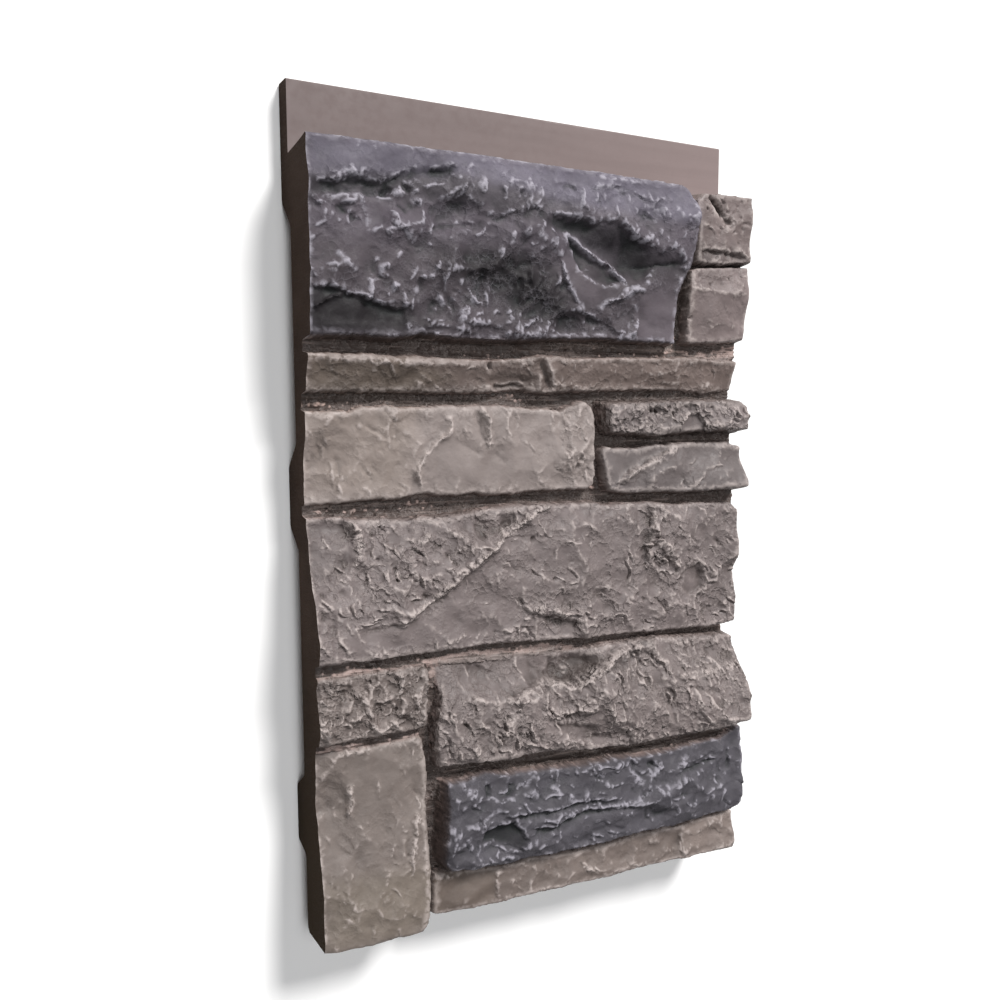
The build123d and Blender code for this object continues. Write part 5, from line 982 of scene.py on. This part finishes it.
def build(name, co, faces, caps):
    me = bpy.data.meshes.new(name)
    loops = np.concatenate([faces.ravel()] + [np.array(c) for c in caps])
    starts = np.concatenate([np.arange(len(faces)) * 4, len(faces) * 4 + np.cumsum([0] + [len(c) for c in caps[:-1]])])
    me.vertices.add(len(co))
    me.vertices.foreach_set("co", co.astype(np.float32).ravel())
    me.loops.add(len(loops))
    me.loops.foreach_set("vertex_index", loops.astype(np.int32))
    me.polygons.add(len(starts))
    me.polygons.foreach_set("loop_start", starts.astype(np.int32))
    me.update(calc_edges=True)
    return me


me = build("stone_panel", co, quads, [left, right])
# 0 front, 1 saw cuts, 2 back
mat_index = np.zeros(len(quads) + 2, np.int32)
row_of = np.repeat(np.arange(nr), nx - 1)
mat_index[:len(quads)][row_of >= n_flange - 1] = 2
mat_index[len(quads):] = 1
me.polygons.foreach_set("material_index", mat_index)
me.validate()

panel = bpy.data.objects.new("stone_panel", me)
bpy.context.scene.collection.objects.link(panel)
bm = bmesh.new()
bm.from_mesh(me)
bmesh.ops.recalc_face_normals(bm, faces=bm.faces)
caps = [f for f in bm.faces if len(f.verts) > 4]
bmesh.ops.triangulate(bm, faces=caps, ngon_method="EAR_CLIP")
bm.to_mesh(me)
bm.free()

GOAL = 192000
tris = sum(len(p.vertices) - 2 for p in me.polygons)
mod = panel.modifiers.new("thin", "DECIMATE")
mod.decimate_type = "COLLAPSE"
mod.ratio = GOAL / tris
mod.use_collapse_triangulate = True
dg = bpy.context.evaluated_depsgraph_get()
thin = bpy.data.meshes.new_from_object(panel.evaluated_get(dg))
panel.modifiers.clear()
old = panel.data
panel.data = thin
bpy.data.meshes.remove(old)
me = thin
me.name = "stone_panel"
print("triangles", tris, "->", len(me.polygons))

# ---------------------------------------------------- paint on the vertices
n = len(me.vertices)
co = np.empty(n * 3, np.float32)
me.vertices.foreach_get("co", co)
co = co.reshape(-1, 3).astype(float)
pm = np.empty(len(me.polygons), np.int32)
me.polygons.foreach_get("material_index", pm)
pl = np.empty(len(me.loops), np.int32)
me.loops.foreach_get("vertex_index", pl)
tri = pl.reshape(-1, 3)
cut = np.zeros(n, bool)
cut[tri[pm == 1].ravel()] = True
co[cut, 0] = np.where(co[cut, 0] < W / 2, 0.0, W)
back_v = np.zeros(n, bool)
back_v[tri[pm == 2].ravel()] = True


def at(a, x, y):
    """The grid's values at scattered points."""
    u = np.clip(x / PITCH, 0, nx - 1.001)
    v = np.clip(y / PITCH, 0, ny - 1.001)
    i, j = u.astype(int), v.astype(int)
    fu, fv = u - i, v - j
    return ((a[j, i] * (1 - fu) + a[j, i + 1] * fu) * (1 - fv)
            + (a[j + 1, i] * (1 - fu) + a[j + 1, i + 1] * fu) * fv)


PAINT = {   # linear colour of each stone's coat
    "A": (0.075, 0.064, 0.076), "A2": (0.138, 0.109, 0.106), "A3": (0.156, 0.125, 0.123),
    "B": (0.136, 0.105, 0.095), "C": (0.218, 0.184, 0.174), "D1": (0.150, 0.126, 0.124),
    "D2": (0.118, 0.100, 0.099), "E": (0.146, 0.121, 0.119), "F": (0.119, 0.097, 0.090),
    "G": (0.146, 0.121, 0.118), "H": (0.147, 0.122, 0.111), "I": (0.063, 0.059, 0.068), "J": (0.140, 0.113, 0.102),
}
# painted light: the mortar is coloured far lighter than its own brown, to stand in for light in the shaded joints
MORTAR_WITH_PAINTED_LIGHT = (0.440, 0.322, 0.290)
FLANGE = (0.161, 0.124, 0.120)
colour = np.zeros(X.shape + (3,))
colour[:] = MORTAR_WITH_PAINTED_LIGHT
high_bed = smooth(-1.8, -0.2, wide)[..., None]     # mortar as high as the stones keeps a darker colour, without the painted light of the deep joints
colour = colour * (1 - high_bed) + np.array((0.150, 0.122, 0.114)) * high_bed
for k, name in enumerate(NAMES):
    colour[ident == k] = PAINT[name]
# mortar clings to the sides of the stones, up to their edges, at a third of the mortar colour, without its painted
# light
side = on_stone * smooth(0.10, -0.45, depth_in)
colour = colour * (1 - side[..., None]) + 0.32 * np.array(MORTAR_WITH_PAINTED_LIGHT) * side[..., None]
# the coat drifts a little from place to place, and the shade strokes add painted light and shade on top of the stones'
# own tones
drift = 1 + 0.16 * fbm(X, Y, 26.0, 1701, 3) + 0.10 * fbm(X, Y, 7.0, 1707, 3) + shade
colour *= np.clip(drift, 0.2, 2.0)[..., None] * hue
colour = np.stack([blur(colour[..., c], 0.35) for c in range(3)], -1)

x, y, z = co.T
flange = y > TOP + 0.62
tint = np.stack([at(colour[..., c], x, y) for c in range(3)], -1)
# painted light: the flange is coloured lighter towards the right, the side the light falls from
tint[flange] = np.array(FLANGE) * np.interp(x[flange], [0, 100, 203], [0.87, 1.0, 1.33])[:, None]
in_wall = (y > TOP + 0.03) & ~flange
# the stones' coat wraps over the top edge and gives out a few millimetres down;
# the material cuts it off by this height
down = np.clip(at(Z, x, np.full(n, TOP)) - z, 0, 40)
rim_y = np.full(in_wall.sum(), TOP - 0.5)
soft_colour = np.stack([blur(colour[..., c], 1.5) for c in range(3)], -1)
tint[in_wall] = np.stack([at(soft_colour[..., c], x[in_wall], rim_y) for c in range(3)], -1)
below_v = np.where(in_wall, down, 0.0)
wear_v = at(wear, x, y)
wear_v[flange] = 0
wear_v[in_wall] = at(wear, x[in_wall], rim_y)
cav_v = at(cavity, x, y)
cav_v[flange | in_wall] = 0
slate_v = at(((ident == NAMES.index("A")) | (ident == NAMES.index("I"))) * (1 - side), x, y)
stone_v = at(on_stone.astype(float), x, y)
stone_v[flange] = 0
stone_v[in_wall] = at(on_stone.astype(float), x[in_wall], rim_y)
slate_v[flange] = 0
slate_v[in_wall] = (x[in_wall] < 169.5).astype(float)
rough_v = at(roughness, x, y)
rough_v[flange | in_wall] = 0
fringe_v = at(np.exp(-np.abs(depth_in + 0.2) / 1.0), x, y)
fringe_v[flange | in_wall] = 0
bed_v = (1 - stone_v) * (y < TOP) * (y > 0.3) * ~back_v


def paint(name, values):
    if values.ndim == 2:
        a = me.attributes.new(name, "FLOAT_COLOR", "POINT")
        a.data.foreach_set("color", np.concatenate([values, np.ones((n, 1))], 1).astype(np.float32).ravel())
    else:
        a = me.attributes.new(name, "FLOAT", "POINT")
        a.data.foreach_set("value", values.astype(np.float32))


paint("tint", np.clip(tint, 0, 1))
paint("wear", wear_v)
paint("cavity", cav_v)
paint("slate", slate_v)
paint("stone", stone_v)
paint("rough", rough_v)
paint("fringe", fringe_v)
paint("bed", bed_v)
paint("below", below_v)

# --------------------------------------------- lean the top faces, trim the foot
lean = np.interp(x, [0, 165, 171, 175, 203], [2.4, 2.0, 0.6, 0.3, 0.3])
edge_wave = 0.30 * fbm(x, np.full(n, 3.0), 11.0, 77, 3)
ze = at(Z, x, np.full(n, TOP))
t = np.clip((ze - z) / np.maximum(ze - 9.0, 1.0), 0, 1)
edge_y = np.interp(x, [0, 162, 168, 171.5, 174.5, 178, 203], [306.0, 305.6, 304.8, 301.5, 301.8, 304.7, 304.8])
wall_y = edge_y + edge_wave * (1 - t) - (lean + edge_y - 305.6).clip(0) * t ** 0.8
front = (~back_v | (z > 8)) & (z > 8.0) & ~flange
near_top = smooth(TOP - 9.0, TOP, y)
y_new = y.copy()
m = (y <= TOP + 0.02) & (z > 12.4)
y_new[m] = (y + (edge_y + edge_wave - TOP) * near_top)[m]
m = in_wall
y_new[m] = wall_y[m]
base_y = (edge_y - (lean + edge_y - 305.6).clip(0))
m = flange & (y < 312.0) & (z > 8.0)
s = np.clip((y - (TOP + 0.6)) / (312.0 - TOP - 0.6), 0, 1)
y_new[m] = (base_y * (1 - s) + 312.0 * s)[m]
# foot of the panel: the tall stone at the left goes lowest
foot_y = np.interp(x, [0, 40, 43, 46, 203], [0.3, 0.3, 1.0, 1.6, 1.2]) + 0.55 * fbm(x, np.full(n, 9.0), 11.0, 79, 3)
foot_y = np.maximum(foot_y, 0.0)
m = (y < 8.0) & (z > 11.55) & ~((y > 0.5) & back_v)
low = np.where(y < 0, 1.0, smooth(8.0, 0.0, y))
tf = np.clip((-y) / 0.35, 0, 1)
y_new[m] = (np.where(y < 0, foot_y * (1 - tf) + 0.9 * tf, y + foot_y * low))[m]
co[:, 1] = np.clip(y_new, 0.0, 330.0)

co[:, 0] -= W / 2
co[:, 1] -= H / 2
me.vertices.foreach_set("co", (co / 1000.0).astype(np.float32).ravel())
me.update()

# smooth all over, with the borders of the saw cuts sharp
me.polygons.foreach_set("use_smooth", np.ones(len(me.polygons), bool))
edges = {}
bm = bmesh.new()
bm.from_mesh(me)
for e in bm.edges:
    if len(e.link_faces) == 2:
        a, b = e.link_faces
        sharp = (a.material_index == 1) != (b.material_index == 1)
        if not sharp and (a.material_index == 2 or b.material_index == 2) and e.calc_face_angle(0) > 0.9:
            sharp = True
        if not sharp and e.calc_face_angle(0) > 0.5 and min(v.co.y for v in e.verts) > (TOP + 0.1 - H / 2) / 1000 - 0.004 \
                and max(v.co.z for v in e.verts) < 0.0105:
            sharp = True
        if not sharp and a.material_index == 0 and b.material_index == 0 and e.calc_face_angle(0) > 0.95:
            sharp = True                        # crisp arrises on the stones
        e.smooth = not sharp
bm.to_mesh(me)
bm.free()

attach(panel, "root")
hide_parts("faux_stone_panel")


# ----------------------------------------------------------------- materials
class Nodes:
    """A small hand for wiring node trees."""

    def __init__(self, name):
        self.mat = bpy.data.materials.new(name)
        self.mat.use_nodes = True
        self.tree = self.mat.node_tree
        self.tree.nodes.clear()
        self.out = self.tree.nodes.new("ShaderNodeOutputMaterial")
        self.bsdf = self.tree.nodes.new("ShaderNodeBsdfPrincipled")
        self.tree.links.new(self.bsdf.outputs[0], self.out.inputs[0])

    def put(self, socket, value):
        if hasattr(value, "links"):
            self.tree.links.new(value, socket)
        else:
            socket.default_value = value

    def attr(self, name, out="Fac"):
        node = self.tree.nodes.new("ShaderNodeAttribute")
        node.attribute_type = "GEOMETRY"
        node.attribute_name = name
        return node.outputs[out]

    def where(self):
        return self.tree.nodes.new("ShaderNodeTexCoord").outputs["Object"]

    def noise(self, scale, detail=3.0, rough=0.55, coord=None, dist=0.0):
        node = self.tree.nodes.new("ShaderNodeTexNoise")
        self.put(node.inputs["Vector"], coord or self.where())
        node.inputs["Scale"].default_value = scale
        node.inputs["Detail"].default_value = detail
        node.inputs["Roughness"].default_value = rough
        node.inputs["Distortion"].default_value = dist
        return node.outputs["Fac"]

    def voronoi(self, scale, feature="F1", coord=None):
        node = self.tree.nodes.new("ShaderNodeTexVoronoi")
        node.feature = feature
        self.put(node.inputs["Vector"], coord or self.where())
        node.inputs["Scale"].default_value = scale
        return node.outputs["Distance"]

    def math(self, op, a, b=0.0, clamp=False):
        node = self.tree.nodes.new("ShaderNodeMath")
        node.operation = op
        node.use_clamp = clamp
        self.put(node.inputs[0], a)
        self.put(node.inputs[1], b)
        return node.outputs[0]

    def ramp(self, v, a, b, lo=0.0, hi=1.0):
        node = self.tree.nodes.new("ShaderNodeMapRange")
        node.clamp = True
        node.interpolation_type = "SMOOTHSTEP"
        self.put(node.inputs["Value"], v)
        for key, val in (("From Min", a), ("From Max", b), ("To Min", lo), ("To Max", hi)):
            node.inputs[key].default_value = val
        return node.outputs["Result"]

    def mix(self, fac, a, b, kind="MIX"):
        node = self.tree.nodes.new("ShaderNodeMix")
        node.data_type = "RGBA"
        node.blend_type = kind
        node.clamp_factor = True
        self.put(node.inputs["Factor"], fac)
        for key, val in (("A", a), ("B", b)):
            sock = [s for s in node.inputs if s.name == key and s.type == "RGBA"][0]
            if isinstance(val, tuple):
                val = (*val, 1.0)
            self.put(sock, val)
        return [s for s in node.outputs if s.type == "RGBA"][0]

    def along(self, axis):
        node = self.tree.nodes.new("ShaderNodeSeparateXYZ")
        self.tree.links.new(self.where(), node.inputs[0])
        return node.outputs[axis]

    def stretched(self, scale):
        node = self.tree.nodes.new("ShaderNodeMapping")
        self.tree.links.new(self.where(), node.inputs["Vector"])
        node.inputs["Scale"].default_value = scale
        return node.outputs["Vector"]

    def warped(self, scale, amount):
        """Object coordinates pushed about by noise, so that cells lose their regular look."""
        node = self.tree.nodes.new("ShaderNodeTexNoise")
        self.tree.links.new(self.where(), node.inputs["Vector"])
        node.inputs["Scale"].default_value = scale
        node.inputs["Detail"].default_value = 3.0
        push = self.tree.nodes.new("ShaderNodeVectorMath")
        push.operation = "MULTIPLY_ADD"
        self.tree.links.new(node.outputs["Color"], push.inputs[0])
        push.inputs[1].default_value = (2 * amount,) * 3
        self.tree.links.new(self.where(), push.inputs[2])
        return push.outputs[0]

    def bump(self, height, distance, strength=1.0, normal=None):
        node = self.tree.nodes.new("ShaderNodeBump")
        node.inputs["Strength"].default_value = strength
        node.inputs["Distance"].default_value = distance
        self.put(node.inputs["Height"], height)
        if normal is not None:
            self.put(node.inputs["Normal"], normal)
        return node.outputs["Normal"]


# painted moulded stone, mortar and flange
m = Nodes("painted_stone")
tint_c = m.attr("tint", "Color")
wear_a, cav_a, slate_a, stone_a, rough_a, bed_a = (m.attr(k) for k in ("wear", "cavity", "slate", "stone", "rough", "bed"))
# the coat gives out raggedly on the wall above the flange, 2 to 5 mm down
below = m.attr("below")
ragged = m.math("ADD", below, m.ramp(m.noise(190.0, 3.0, 0.55), 0.3, 0.7, -1.6, 1.6))
bare = m.ramp(ragged, 2.6, 4.2)
wear_a = m.math("MULTIPLY", wear_a, m.ramp(below, 0.8, 0.1))
cav_a = m.math("MULTIPLY", cav_a, m.ramp(below, 1.0, 0.0))
rough_a = m.math("MULTIPLY", rough_a, m.ramp(below, 1.5, 0.0))
# painted light: the bare wall above the flange is coloured lighter towards the right, as the flange is
wall_c = m.mix(m.ramp(m.along("X"), -0.10, 0.10), (0.103, 0.078, 0.075), (0.140, 0.107, 0.103))
tint_c = m.mix(bare, tint_c, wall_c)
# small chips in two sizes, where the stone is rough
bent = m.warped(260.0, 0.0016)
chip1 = m.voronoi(400.0, "F1", bent)
edge1 = m.voronoi(400.0, "DISTANCE_TO_EDGE", bent)
bent2 = m.warped(700.0, 0.0006)
chip2 = m.voronoi(900.0, "F1", bent2)
edge2 = m.voronoi(900.0, "DISTANCE_TO_EDGE", bent2)
here = m.math("MULTIPLY", rough_a, m.ramp(m.noise(120.0, 2.0), 0.42, 0.60), True)
there = m.math("MULTIPLY", rough_a, m.ramp(m.noise(170.0, 2.0), 0.40, 0.62), True)
mottle = m.noise(130.0, 3.0, 0.55)
base = m.mix(m.math("MULTIPLY", stone_a, m.ramp(mottle, 0.35, 0.68, 0.0, 0.35)), tint_c, (0.74, 0.72, 0.71), "MULTIPLY")
speck = m.noise(850.0, 3.0, 0.65)
base = m.mix(m.math("MULTIPLY", stone_a, m.ramp(speck, 0.55, 0.75, 0.0, 0.16)), base, (0.62, 0.60, 0.58), "MULTIPLY")
# the bare flange is faintly streaked from the mould
plain = m.math("SUBTRACT", 1.0, m.math("MAXIMUM", stone_a, bed_a), True)
base = m.mix(m.math("MULTIPLY", plain, m.ramp(m.noise(1.0, 3.0, 0.5, m.stretched((14.0, 260.0, 260.0))), 0.35, 0.70, 0.0, 0.16)), base, (0.60, 0.57, 0.56), "MULTIPLY")
# dark wash in the hollows and the chip pits, partly the coat's own wash and partly painted shade
pooled_paint_and_shade = m.math("MULTIPLY", here, m.ramp(chip1, 0.30, 0.05, 0.0, 0.30))
wash_and_shade = m.math("MULTIPLY", cav_a, m.ramp(m.noise(330.0, 3.0), 0.25, 0.65, 0.55, 0.95))
wash_and_shade = m.math("MULTIPLY", wash_and_shade, m.ramp(bed_a, 0.0, 1.0, 1.0, 0.42))
wash_and_shade = m.math("MAXIMUM", wash_and_shade, pooled_paint_and_shade, True)
base = m.mix(wash_and_shade, base, m.mix(slate_a, (0.042, 0.032, 0.029), (0.018, 0.020, 0.020)))
# painted shade: the deepest mortar crevices along the stones go near black
crevice_shade = m.math("MULTIPLY", bed_a, m.ramp(cav_a, 0.62, 0.97, 0.0, 0.85))
base = m.mix(crevice_shade, base, (0.016, 0.012, 0.010))
# burst bubbles along the edges of the stones, painted as near-black dots: painted shade in pits that the mesh does not
# have
burst_pit_shade = m.math("MULTIPLY", m.attr("fringe"), m.ramp(m.voronoi(1050.0), 0.34, 0.18))
burst_pit_shade = m.math("MULTIPLY", burst_pit_shade, m.ramp(m.noise(75.0, 2.0), 0.46, 0.56), True)
base = m.mix(burst_pit_shade, base, (0.014, 0.010, 0.009))
# pale dry brushing on the crests
scratch = m.noise(340.0, 3.0, 0.60)
lines = m.math("MULTIPLY", here, m.ramp(edge1, 0.12, 0.0, 0.0, 0.5))
lines2 = m.math("MULTIPLY", there, m.ramp(edge2, 0.14, 0.0, 0.0, 0.35))
crests = m.math("MAXIMUM", wear_a, m.math("MAXIMUM", lines, lines2))
brush = m.math("MULTIPLY", crests, m.ramp(scratch, 0.34, 0.52, 0.0, 1.0), True)
pale = m.mix(slate_a, (0.46, 0.40, 0.38), (0.40, 0.38, 0.43))
base = m.mix(m.math("MULTIPLY", brush, 0.72), base, pale)
# the mortar is dragged sideways and gritty
drag = m.noise(1.0, 2.0, 0.50, m.stretched((30.0, 620.0, 620.0)))
base = m.mix(m.math("MULTIPLY", bed_a, m.ramp(drag, 0.31, 0.43, 0.70, 0.0)), base, (0.034, 0.025, 0.021))
base = m.mix(m.math("MULTIPLY", bed_a, m.ramp(drag, 0.56, 0.70, 0.0, 0.35)), base, (0.33, 0.26, 0.235))
m.put(m.bsdf.inputs["Base Color"], base)
m.put(m.bsdf.inputs["Roughness"], m.math("ADD", m.ramp(m.noise(300.0, 3.0), 0.3, 0.7, 0.50, 0.68), m.math("MULTIPLY", slate_a, 0.08)))
m.bsdf.inputs["IOR"].default_value = 1.45
m.put(m.bsdf.inputs["Specular IOR Level"], m.ramp(slate_a, 0.0, 1.0, 0.38, 0.24))
grit = m.ramp(m.math("MAXIMUM", stone_a, m.math("MULTIPLY", bed_a, 0.25)), 0.0, 1.0, 0.03, 1.0)
n1 = m.bump(m.math("MULTIPLY", m.math("MULTIPLY", chip1, chip1), here), 0.0020, 0.9)
n2 = m.bump(m.math("MULTIPLY", m.math("MULTIPLY", chip2, chip2), there), 0.0006, 0.9, n1)
n3 = m.bump(m.math("MULTIPLY", m.noise(380.0, 3.0, 0.55), grit), 0.0005, 0.40, n2)
n3 = m.bump(m.math("MULTIPLY", drag, bed_a), 0.0010, 0.7, n3)
m.put(m.bsdf.inputs["Normal"], n3)
me.materials.clear()
me.materials.append(m.mat)

# the saw cut through the foam, coloured darker than the brown foam itself: painted shade for the shaded cut
m = Nodes("sawn_foam")
streak = m.noise(1.0, 4.0, 0.6, m.stretched((900.0, 2600.0, 60.0)))
cell = m.voronoi(1500.0)
cloud = m.noise(45.0, 3.0)
c = m.mix(m.ramp(cloud, 0.3, 0.7), (0.028, 0.016, 0.011), (0.040, 0.0245, 0.0175))
c = m.mix(m.ramp(streak, 0.45, 0.75, 0.0, 0.5), c, (0.054, 0.036, 0.027))
c = m.mix(m.ramp(cell, 0.0, 0.35, 0.6, 0.0), c, (0.022, 0.016, 0.014))
# darker towards the bottom
c = m.mix(m.ramp(m.along("Y"), -0.130, -0.020, 0.75, 0.0), c, (0.019, 0.011, 0.0035))
m.put(m.bsdf.inputs["Base Color"], c)
m.bsdf.inputs["Roughness"].default_value = 0.9
m.bsdf.inputs["Specular IOR Level"].default_value = 0.085
m.put(m.bsdf.inputs["Normal"], m.bump(cell, 0.0004, 0.5, m.bump(streak, 0.0003, 0.4)))
me.materials.append(m.mat)

# moulded skin of the back
m = Nodes("moulded_back")
flow = m.noise(1.0, 5.0, 0.6, m.stretched((9.0, 22.0, 22.0)), 1.2)
pore = m.voronoi(420.0)
c = m.mix(m.ramp(flow, 0.3, 0.7), (0.150, 0.118, 0.106), (0.205, 0.165, 0.150))
c = m.mix(m.ramp(pore, 0.0, 0.16, 0.6, 0.0), c, (0.06, 0.045, 0.04))
c = m.mix(m.ramp(m.noise(600.0, 2.0), 0.55, 0.75, 0.0, 0.4), c, (0.26, 0.22, 0.20))
m.put(m.bsdf.inputs["Base Color"], c)
m.put(m.bsdf.inputs["Roughness"], m.ramp(flow, 0.3, 0.7, 0.5, 0.7))
m.put(m.bsdf.inputs["Normal"], m.bump(m.ramp(pore, 0.0, 0.16), 0.0004, 0.4, m.bump(flow, 0.002, 0.25)))
me.materials.append(m.mat)
me.polygons.foreach_set("material_index", pm)
me.update()

# ------------------------------------------------------- floor, light, camera
fm = Nodes("studio_floor")
fm.bsdf.inputs["Base Color"].default_value = (0.90, 0.90, 0.90, 1)
fm.bsdf.inputs["Roughness"].default_value = 0.9
fm.bsdf.inputs["Specular IOR Level"].default_value = 0.1
fmesh = bpy.data.meshes.new("studio_floor")
s = 6.0
fmesh.from_pydata([(-s, -s, -0.0004), (s, -s, -0.0004), (s, s, -0.0004), (-s, s, -0.0004)], [], [(0, 1, 2, 3)])
fmesh.materials.append(fm.mat)
floor = bpy.data.objects.new("studio_floor", fmesh)
bpy.context.scene.collection.objects.link(floor)


def far_light(name, towards, strength, spread, colour):
    light = bpy.data.lights.new(name, "SUN")
    light.energy = strength
    light.angle = math.radians(spread)
    light.color = colour
    ob = bpy.data.objects.new(name, light)
    ob.location = Vector(towards).normalized() * 2.0
    ob.rotation_euler = Vector(towards).to_track_quat("Z", "Y").to_euler()
    bpy.context.scene.collection.objects.link(ob)


far_light("key", (0.50, 1.12, 1.10), 4.12, 18.0, (1.0, 0.985, 0.97))
far_light("over", (-0.22, 0.22, 1.85), 1.45, 24.0, (0.985, 0.99, 1.0))

world = bpy.data.worlds.new("studio")
world.use_nodes = True
world.node_tree.nodes["Background"].inputs["Color"].default_value = (1, 1, 1, 1)
world.node_tree.nodes["Background"].inputs["Strength"].default_value = 0.115
bpy.context.scene.world = world

cam = bpy.data.cameras.new("camera")
cam.sensor_fit = "HORIZONTAL"
cam.sensor_width = 36.0
cam.lens = 38.137
cam.shift_x = -0.0171857
cam.shift_y = 0.0623284
cam.clip_start = 0.01
camera = bpy.data.objects.new("camera", cam)
camera.matrix_world = (
    Matrix.Translation((-0.223913, 0.033899, 0.406711))
    @ Matrix.Rotation(-0.5037350675901515, 4, "Y")
    @ Matrix.Rotation(-0.11840306701875761, 4, "X")
    @ Matrix.Rotation(-0.0013433348413745163, 4, "Z")
)
bpy.context.scene.collection.objects.link(camera)
bpy.context.scene.camera = camera
bpy.context.scene.view_settings.view_transform = "Standard"
